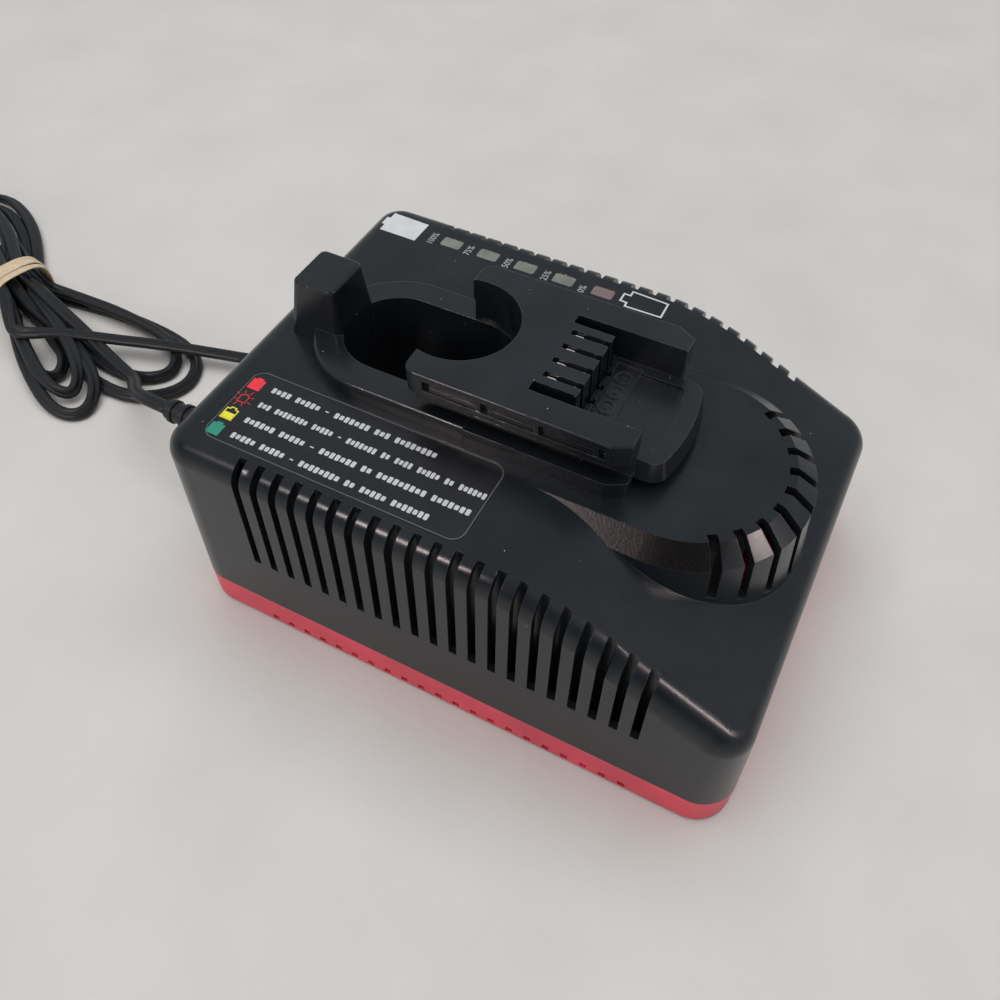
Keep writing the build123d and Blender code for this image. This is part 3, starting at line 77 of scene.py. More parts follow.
# %% [markdown]
# ## Building a finish from nodes
# Every finish below is a Principled shader fed by procedural textures. Two small helpers keep that
# readable: one adds a node and fills or wires its inputs in one call, the other maps a texture's
# range to a useful one. Object coordinates are metres here, so a texture's scale is one over the
# size of its features, and grain keeps its real size on every part.

# %% Helpers for node trees
def add(tree, kind, inputs=(), **settings):
    """Add a shader node, set its options, and fill or wire its inputs."""
    made = tree.nodes.new("ShaderNode" + kind)
    for option, value in settings.items():
        setattr(made, option, value)
    for socket, value in dict(inputs).items():
        if isinstance(value, bpy.types.NodeSocket):
            tree.links.new(value, made.inputs[socket])
        else:
            made.inputs[socket].default_value = value
    return made


def spread(tree, value, low, high, to_low=0.0, to_high=1.0):
    """Map a value from the range low..high to another range, clamped at both ends."""
    fields = {"Value": value, "From Min": low, "From Max": high, "To Min": to_low, "To Max": to_high}
    return add(tree, "MapRange", fields).outputs["Result"]


def mixed(tree, share, first, second):
    """Blend two colours; share 0 gives the first."""
    node = add(tree, "Mix", data_type="RGBA")
    for socket, value in ((0, share), (6, first), (7, second)):
        if isinstance(value, bpy.types.NodeSocket):
            tree.links.new(value, node.inputs[socket])
        else:
            node.inputs[socket].default_value = value if socket == 0 else (*value, 1.0)
    return node.outputs[2]


def maths(tree, operation, first, second=0.0):
    """One step of arithmetic on two values."""
    return add(tree, "Math", {0: first, 1: second}, operation=operation).outputs[0]


def mottle(tree, size, detail=2.0, stretch=(1.0, 1.0, 1.0)):
    """Cloudy noise whose features are about size metres across, stretched along the axes."""
    place = add(tree, "TexCoord").outputs["Object"]
    scaled = add(tree, "Mapping", {"Vector": place, "Scale": [1 / side for side in stretch]})
    fields = {"Vector": scaled.outputs["Vector"], "Scale": 1 / size, "Detail": detail}
    return add(tree, "TexNoise", fields).outputs["Fac"]


def specks(tree, spacing, size, share):
    """Small sparse dots, 1 inside a dot: dust or grains, only some cells of a grid have one."""
    place = add(tree, "TexCoord").outputs["Object"]
    cells = add(tree, "TexVoronoi", {"Vector": place, "Scale": 1 / spacing})
    dot = maths(tree, "LESS_THAN", cells.outputs["Distance"], size / spacing)
    chosen = add(tree, "SeparateColor", {"Color": cells.outputs["Color"]}).outputs["Red"]
    return maths(tree, "MULTIPLY", dot, maths(tree, "GREATER_THAN", chosen, 1 - share))


def new_finish(name, colour, roughness=0.5, metallic=0.0, specular=0.5):
    """A Principled material with plain values on its own sockets; returns (material, tree, shader)."""
    material = bpy.data.materials.new(name)
    material.use_nodes = True
    tree = material.node_tree
    shader = tree.nodes["Principled BSDF"]
    shader.inputs["Base Color"].default_value = (*colour, 1.0)
    shader.inputs["Roughness"].default_value = roughness
    shader.inputs["Metallic"].default_value = metallic
    shader.inputs["Specular IOR Level"].default_value = specular
    return material, tree, shader


def relief(tree, shader, height, depth, normal=None):
    """Bump from a height texture; depth is in metres."""
    fields = {"Height": height, "Distance": depth}
    if normal is not None:
        fields["Normal"] = normal
    tree.links.new(add(tree, "Bump", fields).outputs["Normal"], shader.inputs["Normal"])


def dress(material, *nodes):
    """Give construction nodes a finish through their material slots."""
    for name in nodes:
        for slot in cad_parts[name].material_slots:
            slot.material = material


# %% Helpers for new pieces
def skin(mesh, rings, closed=False):
    """Quads between neighbouring rings; a closed row meets its start, an open one gets two caps."""
    for first, second in zip(rings, rings[1:] + (rings[:1] if closed else [])):
        for index in range(len(first)):
            after = (index + 1) % len(first)
            mesh.faces.new((first[index], first[after], second[after], second[index]))
    if not closed:
        mesh.faces.new(rings[0][::-1])
        mesh.faces.new(rings[-1])


def finish_mesh(name, mesh, smooth=True):
    """Turn a bmesh into an object in the scene, with its faces turned outwards."""
    bmesh.ops.recalc_face_normals(mesh, faces=mesh.faces)
    data = bpy.data.meshes.new(name)
    mesh.to_mesh(data)
    mesh.free()
    for face in data.polygons:
        face.use_smooth = smooth
    piece = bpy.data.objects.new(name, data)
    scene.collection.objects.link(piece)
    return piece


def settle(piece, material, body="charger"):
    """Give a new piece its finish and the body it rides on."""
    piece.data.materials.clear()
    piece.data.materials.append(material)
    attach(piece, body)


# %% [markdown]
# ## Moulded plastic
# The shells are moulded in steel tools whose faces were eroded by sparks, which leaves a fine even
# grain. Edges come out slightly rounded and are the first to be polished by handling. A Bevel node
# rounds the shading of sharp edges, and where its normal leaves the true one there is an edge: that
# difference becomes a mask for a smoother, paler line, partly worn and partly a painted highlight.
# Handling also leaves broad smudges and a few specks of dust. The same recipe with other numbers
# makes the dock, the tray and the lead.

# %% A recipe for moulded plastic
def moulded_plastic(name, colour, edge_wear_and_highlight_colour, roughness, grain=0.35 * mm, depth=0.02 * mm,
                    smudge=0.08, edge=0.35 * mm, dust=0.0, specular=0.5):
    """Grained plastic with rounded edges, paler from wear and a painted highlight, smudges and dust."""
    material, tree, shader = new_finish(name, colour, roughness, specular=specular)
    rounded = add(tree, "Bevel", {"Radius": edge}, samples=4).outputs["Normal"]
    true_normal = add(tree, "NewGeometry").outputs["Normal"]
    agreement = add(tree, "VectorMath", {0: rounded, 1: true_normal}, operation="DOT_PRODUCT")
    edge_wear_and_highlight = spread(tree, agreement.outputs["Value"], 0.998, 0.90)
    tone = mottle(tree, 25 * mm, 3.0)
    fine = mottle(tree, grain, 2.0)
    deeper = tuple(0.82 * channel for channel in colour)
    paler = tuple(min(1.0, 1.18 * channel + 0.002) for channel in colour)
    surface = mixed(tree, spread(tree, tone, 0.3, 0.7), deeper, paler)
    patchy = spread(tree, mottle(tree, 3 * mm, 3.0), 0.35, 0.65, 0.25, 0.85)
    # the edges get a paler colour: partly wear, partly a painted highlight along them
    surface = mixed(tree, maths(tree, "MULTIPLY", edge_wear_and_highlight, patchy), surface, edge_wear_and_highlight_colour)
    rough = spread(tree, tone, 0.3, 0.7, roughness - smudge / 2, roughness + smudge / 2)
    rough = maths(tree, "SUBTRACT", rough, maths(tree, "MULTIPLY", edge_wear_and_highlight, 0.12))
    if dust:
        flecks = specks(tree, 5 * mm, 0.22 * mm, dust)
        surface = mixed(tree, maths(tree, "MULTIPLY", flecks, 0.75), surface, (0.42, 0.41, 0.38))
    tree.links.new(surface, shader.inputs["Base Color"])
    tree.links.new(rough, shader.inputs["Roughness"])
    relief(tree, shader, fine, depth, rounded)
    return material, tree, shader


black = (0.0084, 0.0104, 0.0130)
housing_finish, housing_tree, housing_shader = moulded_plastic(
    "housing_plastic", black, (0.055, 0.057, 0.060), 0.25, depth=0.004 * mm, smudge=0.06, dust=0.10,
    specular=0.42)
dock_finish, _, _ = moulded_plastic(
    "dock_plastic", black, (0.115, 0.118, 0.122), 0.25, depth=0.004 * mm, dust=0.22)
tray_finish, _, _ = moulded_plastic(
    "tray_plastic", (0.71, 0.050, 0.088), (0.78, 0.12, 0.16), 0.42, smudge=0.05, depth=0.01 * mm)
print("moulded plastics", [finish.name for finish in (housing_finish, dock_finish, tray_finish)])

# %% [markdown]
# ### A coarser band
# On the label side the plateau's sloping flank was etched deeper than the rest: it looks like coarse
# leather and a little browner. No seam bounds it, so the finish finds it by place and by the way the
# surface faces, and swaps in another colour and another relief there.

# %% Add the coarse band to the housing
def within(tree, value, low, high, soft):
    """1 between low and high, falling to 0 over a soft border on both sides."""
    rising = spread(tree, value, low, low + soft)
    return maths(tree, "MULTIPLY", rising, spread(tree, value, high, high - soft))


flank_slope = (0.66, 0.90)
flank_place = {"X": (-60 * mm, -20 * mm), "Y": (-84 * mm, 4 * mm), "Z": (60 * mm, 110 * mm)}
housing_place = add(housing_tree, "TexCoord")
spot = add(housing_tree, "SeparateXYZ", {"Vector": housing_place.outputs["Object"]})
facing = add(housing_tree, "SeparateXYZ", {"Vector": housing_place.outputs["Normal"]})
flank = within(housing_tree, facing.outputs["Z"], *flank_slope, 0.04)
for axis, (low, high) in flank_place.items():
    inside = within(housing_tree, spot.outputs[axis], low, high, 2 * mm)
    flank = maths(housing_tree, "MULTIPLY", flank, inside)
plain_colour = housing_shader.inputs["Base Color"].links[0].from_socket
plain_rough = housing_shader.inputs["Roughness"].links[0].from_socket
plain_normal = housing_shader.inputs["Normal"].links[0].from_socket
hide = mottle(housing_tree, 0.9 * mm, 3.0)
browner = mixed(housing_tree, spread(housing_tree, hide, 0.35, 0.65),
                (0.0014, 0.0011, 0.0011), (0.0055, 0.0040, 0.0038))
housing_colour = mixed(housing_tree, flank, plain_colour, browner)
housing_tree.links.new(housing_colour, housing_shader.inputs["Base Color"])
etched = spread(housing_tree, flank, 0.0, 1.0, 0.0, 0.04)
housing_rough = maths(housing_tree, "ADD", plain_rough, etched)
housing_tree.links.new(housing_rough, housing_shader.inputs["Roughness"])
leather = maths(housing_tree, "MULTIPLY", hide, flank)
relief(housing_tree, housing_shader, leather, 0.05 * mm, plain_normal)
dress(housing_finish, "upper_housing")
dress(dock_finish, "slide_dock", "stem_socket")
dress(tray_finish, "lower_tray")

# %% [markdown]
# ## The mains lead
# The lead is a flat twin flex, 6.6 mm wide and 3.6 mm thick, about 2.7 m long. It leaves the strain
# relief at the back, drops to the table, and is wound back and forth into a hank that a rubber band
# pinches in the middle, so it makes loops at both ends of the throat: six on the far side and five on
# the near one. One NURBS spline carries the whole lead. The free stretches are listed points,
# and the first and the last of them repeat the construction model's own. The hank's loops are more
# points of the same spline, worked out one turn after the other, and every turn has a size of its own
# because nothing ties the loose ends.

# %% The listed points of the lead, in millimetres
lead_width = 6.6
lead_thickness = 3.6
cord_lead_route = [
    (-28.0, 168.1, 32.5),
    (-28.0, 180.1, 32.5),
    (-24.5, 193.0, 28.5),
    (-14.0, 206.0, 19.0),
    (-5.0, 219.0, 9.0),
]
run_to_throat = [(2.0, 240.0), (9.0, 264.0), (14.0, 288.0)]
tail_hook = [(-5.0, 298.0), (-11.5, 290.0), (-8.5, 281.0), (0.0, 270.0)]
cord_tail_route = [(12.0, 246.0, 9.0), (19.5, 222.0, 9.5), (27.5, 198.0, 8.0), (33.5, 174.0, 8.0)]

# the throat is where the band pinches the hank
throat = Vector((20.0, 317.0))
throat_turn = radians(-16.3)
across = Vector((cos(throat_turn), sin(throat_turn)))
along_throat = Vector((-sin(throat_turn), cos(throat_turn)))
pinch = 9.0

# %% Wind the hank
# the tip and the half width of every loop, in the order in which they were wound
near_loops = [((4.0, 193.0), 37.0), ((9.0, 206.0), 25.0), ((-19.0, 256.0), 13.0),
              ((-32.0, 226.0), 22.0), ((-26.0, 239.0), 15.0)]
far_loops = [((60.0, 416.0), 40.0), ((65.0, 425.0), 46.0), ((54.0, 404.0), 22.0),
             ((62.0, 420.0), 31.0), ((48.0, 396.0), 14.0), ((57.0, 410.0), 27.0)]
# where each pass crosses the throat, measured from its middle; the last pass is the tail's
columns = [4.0, -4.0, 11.0, 4.0, 11.0, -11.0, -4.0, -11.0, -4.0, -11.0, 4.0, -11.0]
loop_steps = 8
loop_belly = 0.85


def throat_point(column, end):
    """A point where the lead enters or leaves the pinch."""
    return throat + across * column + along_throat * (end * pinch)


def loop_points(tip, half_width, side, first_column, last_column):
    """Points round one loop, out to its tip and back to the throat."""
    points = []
    reach = Vector(tip) - throat
    for step in range(1, loop_steps):
        share = step / loop_steps
        out = (1 - cos(2 * pi * share)) / 2
        swell = side * half_width * sin(2 * pi * share) * out ** loop_belly
        column = first_column + (last_column - first_column) * share
        points.append(throat + reach * out + across * (swell + column * (1 - out)))
    return points


def hank_plan():
    """The plan of the whole lead after its free first stretch, up to its free last one."""
    points = [Vector(point) for point in run_to_throat]
    points += [throat_point(columns[0], -1), throat_point(columns[0], 1)]
    for turn, far in enumerate(far_loops):
        up, down = columns[2 * turn], columns[2 * turn + 1]
        points += loop_points(*far, 1, up, down)
        points += [throat_point(down, 1), throat_point(down, -1)]
        if turn < len(near_loops):
            up = columns[2 * turn + 2]
            points += loop_points(*near_loops[turn], -1, down, up)
            points += [throat_point(up, -1), throat_point(up, 1)]
    return points + [Vector(point) for point in tail_hook]


wound = hank_plan()
print("points in the hank", len(wound))

# %% [markdown]
# ### Rolling onto its edge
# A flat lead bends easily only over its broad side, so in a tight turn on the table it rolls up onto
# its edge. The roll follows how sharply the plan turns, eased over half a hand's width, because a
# lead can't twist at once. A rolled stretch is also a taller one, which the next step needs.

# %% Work out the roll
full_roll = radians(75)
roll_bend = 0.06
roll_ease = 55.0
least_pace = 0.2


def rolled_edge(spots):
    """Roll in radians at each point of a plan line in millimetres, positive for a left turn."""
    heading = np.gradient(spots, axis=0)
    pace = np.maximum(np.linalg.norm(heading, axis=1), least_pace)
    turn = np.unwrap(np.arctan2(heading[:, 1], heading[:, 0]))
    window = np.hanning(int(roll_ease / pace.mean()) | 1)
    bend = np.convolve(np.gradient(turn) / pace, window / window.sum(), mode="same")
    return full_roll * np.tanh(bend / roll_bend)


# %% [markdown]
# ### Letting the lead lie on itself
# Each stretch rests on whatever was put down before it. The rule walks the plan in the order in which
# the lead was laid: where it passes over an earlier stretch it rises by half of both thicknesses. Then
# every hump gets long slopes, because a lead can't step up and down. The first stretch, from the
# charger to the throat, came down last from above, so its turn comes after all the loops.

# %% Work out the heights
half_thickness = lead_thickness / 2
half_edge = lead_width / 2
slope_limit = 0.5
free_points = 2
steps_per_point = 8
# two stretches touch where their middles come closer than the width, fading in over cover_fade, and
# a stretch never rests on the part of itself that is less than own_reach away
cover_fade = 2.2
own_reach = 16.0
ease_steps = 9


def smooth_line(points):
    """Points along the quadratic curve that a NURBS spline of order three draws."""
    middles = [(before + after) / 2 for before, after in zip(points, points[1:])]
    line = []
    for first, corner, last in zip(middles, points[1:-1], middles[1:]):
        for step in range(steps_per_point):
            t = step / steps_per_point
            line.append(first * (1 - t) ** 2 + corner * (2 * t * (1 - t)) + last * t * t)
    return np.array([tuple(point) for point in line])


def resting_heights(plan):
    """Height of the lead's middle at every plan point."""
    spots = smooth_line(plan)
    count = len(spots)
    travel = np.concatenate([[0.0], np.cumsum(np.linalg.norm(np.diff(spots, axis=0), axis=1))])
    apart = np.abs(travel[:, None] - travel[None, :])
    half = half_thickness + (half_edge - half_thickness) * np.abs(np.sin(rolled_edge(spots)))
    gaps = np.linalg.norm(spots[:, None] - spots[None, :], axis=2)
    cover = np.clip((lead_width - gaps) / cover_fade, 0.0, 1.0) * (apart > own_reach)
    height = half.copy()
    laid = np.zeros(count, dtype=bool)
    free = free_points * steps_per_point
    for index in [*range(free, count), *range(free)]:
        under = laid & (cover[index] > 0)
        if under.any():
            stacked = height[under] + (half[index] + half[under]) * cover[index][under]
            height[index] = max(height[index], stacked.max())
        laid[index] = True
    height = (height[None, :] - slope_limit * apart).max(axis=1)
    window = np.hanning(ease_steps)
    padded = np.pad(height, ease_steps // 2, mode="edge")
    height = np.maximum(np.convolve(padded, window / window.sum(), mode="valid"), half)
    nearest = [(index - 1) * steps_per_point + steps_per_point // 2 for index in range(len(plan))]
    nearest = [min(max(index, 0), count - 1) for index in nearest]
    return [float(height[max(0, index - 2):index + 3].max()) for index in nearest]


heights = resting_heights(wound)
print("highest point of the hank, mm", round(max(heights), 1))
hank_route = [(point.x, point.y, z) for point, z in zip(wound, heights)]
lead_points = [Vector(point) * mm for point in cord_lead_route + hank_route + cord_tail_route]

# %% Draw the spline and read its line
def spline_line(name, points, resolution):
    """The line of a NURBS spline through control points, as a list of positions."""
    curve = bpy.data.curves.new(name, "CURVE")
    curve.dimensions = "3D"
    spline = curve.splines.new("NURBS")
    spline.points.add(len(points) - 1)
    for spot, point in zip(spline.points, points):
        spot.co = (*point, 1.0)
    spline.order_u = 3
    spline.use_endpoint_u = True
    spline.resolution_u = resolution
    holder = bpy.data.objects.new(name, curve)
    scene.collection.objects.link(holder)
    bpy.context.view_layer.update()
    drawn = bpy.data.meshes.new_from_object(holder)
    line = [vertex.co.copy() for vertex in drawn.vertices]
    bpy.data.objects.remove(holder)
    bpy.data.meshes.remove(drawn)
    bpy.data.curves.remove(curve)
    return line


lead_line = spline_line("lead_line", lead_points, 6)

# %% [markdown]
# ### The section of a flat twin lead
# Two round wires share one sheath, so the section is a figure of eight with a groove along the
# middle of each broad side. A curve's own bevel can't make that section turn with the lead, so it is
# a mesh: one ring per point of the line, turned by the roll that was worked out above. The roll dies
# away at both ends, where the strain relief and the plug hold the lead level.

# %% Make the lead's mesh
held_at_relief = 40
held_at_plug = 60


def twin_section(width, thickness, steps=10):
    """The figure of eight, counter-clockwise, as (across, up) pairs."""
    radius = thickness / 2
    offset = width / 2 - radius
    meet = acos(-offset / radius)
    right = [-meet + 2 * meet * step / steps for step in range(steps)]
    lobe = [(offset + radius * cos(angle), radius * sin(angle)) for angle in right]
    return lobe + [(-x, -y) for x, y in lobe]


def lead_roll(line):
    """The roll along the lead, eased to none at both ends."""
    spots = np.array([point[:2] for point in line]) / mm
    order = np.arange(len(line))
    held = np.clip(order / held_at_relief, 0, 1) * np.clip(order[::-1] / held_at_plug, 0, 1)
    return rolled_edge(spots) * held


def sweep_section(name, line, section, rolls):
    """A closed tube: the section carried along the line, level except for its roll."""
    mesh = bmesh.new()
    rings = []
    for index, point in enumerate(line):
        before, after = line[max(index - 1, 0)], line[min(index + 1, len(line) - 1)]
        ahead = (after - before).normalized()
        level = Vector((0, 0, 1)).cross(ahead).normalized()
        up = ahead.cross(level)
        side = level * cos(rolls[index]) + up * sin(rolls[index])
        top_way = up * cos(rolls[index]) - level * sin(rolls[index])
        rings.append([mesh.verts.new(point + side * (x * mm) + top_way * (y * mm)) for x, y in section])
    skin(mesh, rings)
    return finish_mesh(name, mesh)


sheath_finish, _, _ = moulded_plastic(
    "cord_sheath", (0.0070, 0.0084, 0.0098), (0.014, 0.015, 0.016), 0.46,
    grain=0.6 * mm, depth=0.01 * mm, smudge=0.14, edge=0.1 * mm)
rolls = lead_roll(lead_line)
mains_lead = sweep_section("mains_lead", lead_line, twin_section(lead_width, lead_thickness), rolls)
settle(mains_lead, sheath_finish)
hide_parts("cord_lead", "cord_hank", "cord_tail")
print("mains lead", len(mains_lead.data.polygons), "faces")

# %% [markdown]
# ### The rubber band
# One tan band, doubled over and over, holds the throat. It shows as several flat strands side by
# side that bulge over the top and cross at a slant. Each strand is a closed ring round the bundle
# with its own place, slant and tightness.

# %% Tie the hank with a rubber band
band_strip = 1.4
band_skin = 0.55
band_zone = 5.0
# place along the throat, slant and tightness of every strand
strands = [(-5.4, 0.6, 1.0), (-3.3, -1.0, 1.015), (-1.2, 0.8, 1.03), (0.8, -0.9, 1.035),
           (2.7, -0.6, 1.02), (4.5, 0.7, 1.01), (5.9, -0.4, 0.995)]


def bundle_reach(line, near):
    """Half width, middle and top of the lead's bundle near the throat, in millimetres."""
    sides, tops = [], []
    for point in line:
        rest = Vector((point.x, point.y)) / mm - throat
        if abs(rest.dot(along_throat)) < near and rest.length < 4 * near:
            sides.append(rest.dot(across))
            tops.append(point.z / mm)
    wide = (max(sides) - min(sides)) / 2 + lead_width / 2
    return wide, (max(sides) + min(sides)) / 2, max(tops) + half_thickness


def band_strand(mesh, place, slant, tightness, half_width, middle, height):
    """One turn of the band: a flat strip round a rounded rectangle."""
    steps, strip = 64, 8
    squared = 2 / 3
    rings = []
    for step in range(steps):
        angle = 2 * pi * step / steps
        x = half_width * tightness * abs(cos(angle)) ** squared * (1 if cos(angle) > 0 else -1)
        z = height / 2 * tightness * abs(sin(angle)) ** squared * (1 if sin(angle) > 0 else -1)
        # the strand lies at a slant and wavers a little on its way round
        shift = place + slant * sin(angle + 0.6) + 0.35 * slant * sin(3 * angle)
        spot = throat + across * (middle + x) + along_throat * shift
        centre = Vector((spot.x, spot.y, max(height / 2 + z, 0.0) + band_skin))
        out = Vector((across.x * cos(angle) / half_width, across.y * cos(angle) / half_width,
                      2 * sin(angle) / height)).normalized()
        flat = Vector((along_throat.x, along_throat.y, 0.0))
        ring = []
        for corner in range(strip):
            turn = 2 * pi * (corner + 0.5) / strip
            edge = flat * (band_strip * cos(turn)) + out * (band_skin * sin(turn))
            ring.append(mesh.verts.new((centre + edge) * mm))
        rings.append(ring)
    skin(mesh, rings, closed=True)


bundle_half, bundle_middle, bundle_top = bundle_reach(lead_line, band_zone)
print("bundle: half width", round(bundle_half, 1), "middle", round(bundle_middle, 1),
      "top", round(bundle_top, 1))
band_mesh = bmesh.new()
for strand in strands:
    band_strand(band_mesh, *strand, bundle_half + band_skin, bundle_middle, bundle_top + band_skin)
band = finish_mesh("tied_band", band_mesh)
band_finish, band_tree, band_shader = new_finish("band_rubber", (0.46, 0.33, 0.20), 0.62)
tan = mixed(band_tree, spread(band_tree, mottle(band_tree, 4 * mm, 3.0), 0.3, 0.7),
            (0.56, 0.42, 0.28), (0.70, 0.56, 0.40))
band_tree.links.new(tan, band_shader.inputs["Base Color"])
band_shader.inputs["Subsurface Weight"].default_value = 0.15
band_shader.inputs["Subsurface Scale"].default_value = 1.5 * mm
relief(band_tree, band_shader, mottle(band_tree, 0.5 * mm, 2.0), 0.05 * mm)
settle(band, band_finish)
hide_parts("rubber_band")

# %% [markdown]
# ### The plug
# The plug is moulded onto the lead in soft black plastic. Its neck grows out of the flat sheath, swells
# to a waist with finger ribs on both broad sides, and ends in a flat face with two blades. A loft of
# rounded rectangles gives that: each ring has a width, a height and a corner, read along the plug.

# %% Make the plug
plug_tip = Vector(cord_tail_route[-1])
plug_back = Vector(cord_tail_route[-2])
plug_ahead = Vector((plug_tip.x - plug_back.x, plug_tip.y - plug_back.y, 0.0)).normalized()
plug_across = Vector((0.0, 0.0, 1.0)).cross(plug_ahead)
plug_length = 38.0
plug_steps = 96
# distance from the neck's start, width, height and corner; the distances are stretched to plug_length
plug_profile = [(0.0, 8.6, 5.6, 2.4), (5.0, 9.4, 6.6, 2.8), (11.0, 11.6, 9.2, 3.0),
                (14.0, 14.4, 11.2, 3.2), (18.0, 20.0, 14.0, 3.8), (21.2, 23.8, 15.8, 4.0),
                (23.4, 23.8, 15.8, 4.0), (24.0, 23.0, 15.0, 3.6)]
profile_length = plug_profile[-1][0]
rib_start, rib_end = 5.0, 19.5
rib_pitch = 2.2
rib_height = 0.45


def rounded_outline(half_x, half_y, corner, steps=5):
    """A rounded rectangle about the origin, counter-clockwise."""
    outline = []
    for quarter, (side_x, side_y) in enumerate(((1, 1), (-1, 1), (-1, -1), (1, -1))):
        for step in range(steps + 1):
            angle = pi / 2 * (quarter + step / steps)
            outline.append((side_x * (half_x - corner) + corner * cos(angle),
                            side_y * (half_y - corner) + corner * sin(angle)))
    return outline


def read_profile(distance):
    """Width, height and corner of the plug at a distance from its neck's start."""
    for (start, *low), (end, *high) in zip(plug_profile, plug_profile[1:]):
        if distance <= end:
            share = (distance - start) / (end - start)
            eased = share * share * (3 - 2 * share)
            return [a + (b - a) * eased for a, b in zip(low, high)]
    return plug_profile[-1][1:]


def rib_swell(distance):
    """How far a finger rib stands out at a distance from the neck's start."""
    if not rib_start < distance < rib_end:
        return 0.0
    return rib_height * (0.5 - 0.5 * cos(2 * pi * (distance - rib_start) / rib_pitch))


plug_mesh = bmesh.new()
plug_rings = []
for step in range(plug_steps):
    distance = profile_length * step / (plug_steps - 1)
    width, height, corner = read_profile(distance)
    half_height = height / 2 - rib_height + rib_swell(distance)
    outline = rounded_outline(width / 2, half_height, corner - rib_height)
    centre = plug_tip + plug_ahead * (distance * plug_length / profile_length)
    plug_rings.append([plug_mesh.verts.new((centre + plug_across * x + Vector((0, 0, y))) * mm)
                       for x, y in outline])
skin(plug_mesh, plug_rings)
moulded_plug = finish_mesh("moulded_plug", plug_mesh)
settle(moulded_plug, sheath_finish)
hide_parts("plug_body")
plug_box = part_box("plug_body")
print("the plug takes the place of a body from", plug_box[0], "to", plug_box[1])

dress(sheath_finish, "strain_relief")

# %% [markdown]
# ## Print on the deck
# The sticker and the deck carry screen print: an ink film a few hundredths of a millimetre thick. It
# is made as thin solid shapes that sit just above the surface, one mesh for each ink, so that every
# mark stays crisp however close one looks. The sticker explains the light with four battery marks in
# colour, each with a line of wording beside it, which is left as plain blocks.

# %% Shapes for the print
ink_gap = 0.02
ink_film = 0.05
# height of the deck's flat far edge, in millimetres
deck_level = 94.0
label_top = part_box("status_label")[1].z / mm


def print_shape(mesh, outline, surface):
    """A filled flat shape as a thin closed solid."""
    levels = (surface + ink_gap, surface + ink_gap + ink_film)
    skin(mesh, [[mesh.verts.new(Vector((x, y, z)) * mm) for x, y in outline] for z in levels])


def print_line(mesh, outline, width, surface):
    """A closed line of even width that follows an outline on its inner side."""
    points = [Vector(point) for point in outline]
    inner = []
    for before, point, after in zip(points[-1:] + points[:-1], points, points[1:] + points[:1]):
        arrive, leave = (point - before).normalized(), (after - point).normalized()
        # the inner side runs parallel to the outline, and a sharp corner's mitre is kept short
        inward = Vector((-arrive.y - leave.y, arrive.x + leave.x)).normalized()
        inner.append(point + inward * (width / max(0.4, inward.dot(Vector((-arrive.y, arrive.x))))))
    low, high = surface + ink_gap, surface + ink_gap + ink_film
    section = ((points, low), (points, high), (inner, high), (inner, low))
    skin(mesh, [[mesh.verts.new(Vector((*point, z)) * mm) for point in side] for side, z in section],
         closed=True)


def placed(outline, x, y):
    """An outline moved to a place."""
    return [(x + dx, y + dy) for dx, dy in outline]


def battery_outline(length, height, nub):
    """A battery mark lying along X with its terminal towards +X, counter-clockwise."""
    end, top = length / 2, height / 2
    return [(-end, -top), (end - nub, -top), (end - nub, -top * 0.5), (end, -top * 0.5),
            (end, top * 0.5), (end - nub, top * 0.5), (end - nub, top), (-end, top)]


def ink(name, colour, mesh, roughness=0.45):
    """A print piece with a slightly uneven ink finish."""
    material, tree, shader = new_finish(name, colour, roughness)
    thin = tuple(0.90 * channel for channel in colour)
    tone = spread(tree, mottle(tree, 4 * mm, 2.0), 0.35, 0.7)
    tree.links.new(mixed(tree, tone, colour, thin), shader.inputs["Base Color"])
    relief(tree, shader, mottle(tree, 0.2 * mm), 0.004 * mm)
    settle(finish_mesh(name, mesh, smooth=False), material)


# %% [markdown]
# ### The sticker
# Four rows, each starting with its battery mark at the sticker's back end: full red, a flashing
# outline with rays, half-filled yellow and full green. A row of small blocks, grouped like words,
# stands for the wording and keeps its rhythm.

# %% Print the sticker
mark_y = 94.6
mark_length, mark_height = 6.0, 5.2
row_xs = [-41.0, -49.1, -57.3, -65.2]
block_height = 2.6
block_share = 0.74
small_letter = 0.78
word_gap = 2.0
dash_height = 0.5
row_start = 88.0
rows = [(4, 5, 1, 7, 3, 8), (3, 8, 5, 1, 7, 2, 4, 5, 2, 6), (6, 5, 1, 7, 2, 9, 7), (5, 5, 1, 8, 2, 5, 7)]
row_ends = [18.7, -4.8, -3.4, 8.0]

white_mesh = bmesh.new()
for x, words, row_end in zip(row_xs, rows, row_ends):
    room = row_start - row_end - word_gap * (len(words) - 1)
    pitch = room / sum(words)
    y = row_start
    for letters in words:
        for number in range(letters):
            height = block_height * (small_letter if number % 3 == 1 else 1.0)
            if letters == 1:
                height = dash_height
            block = rounded_outline(height / 2, pitch * block_share / 2, min(0.35, 0.45 * height), 2)
            print_shape(white_mesh, placed(block, x, y - pitch * (number + 0.5)), label_top)
        y -= letters * pitch + word_gap
ink("word_blocks", (0.52, 0.53, 0.54), white_mesh)
print("word blocks", sum(sum(words) for words in rows))

# %% Print the sticker's border
border_inset = 0.25
border_line = 0.22
border_corner = 5.0 - border_inset
label_low, label_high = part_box("status_label")
label_x, label_y = (label_low.x + label_high.x) / 2 / mm, (label_low.y + label_high.y) / 2 / mm
border_half_x = (label_high.x - label_low.x) / 2 / mm - border_inset
border_half_y = (label_high.y - label_low.y) / 2 / mm - border_inset
border_mesh = bmesh.new()
border = rounded_outline(border_half_x, border_half_y, border_corner, 8)
print_line(border_mesh, placed(border, label_x, label_y), border_line, label_top)
ink("sticker_border", (0.16, 0.165, 0.17), border_mesh)
print("sticker", round(2 * border_half_x, 1), "by", round(2 * border_half_y, 1), "mm inside its border")

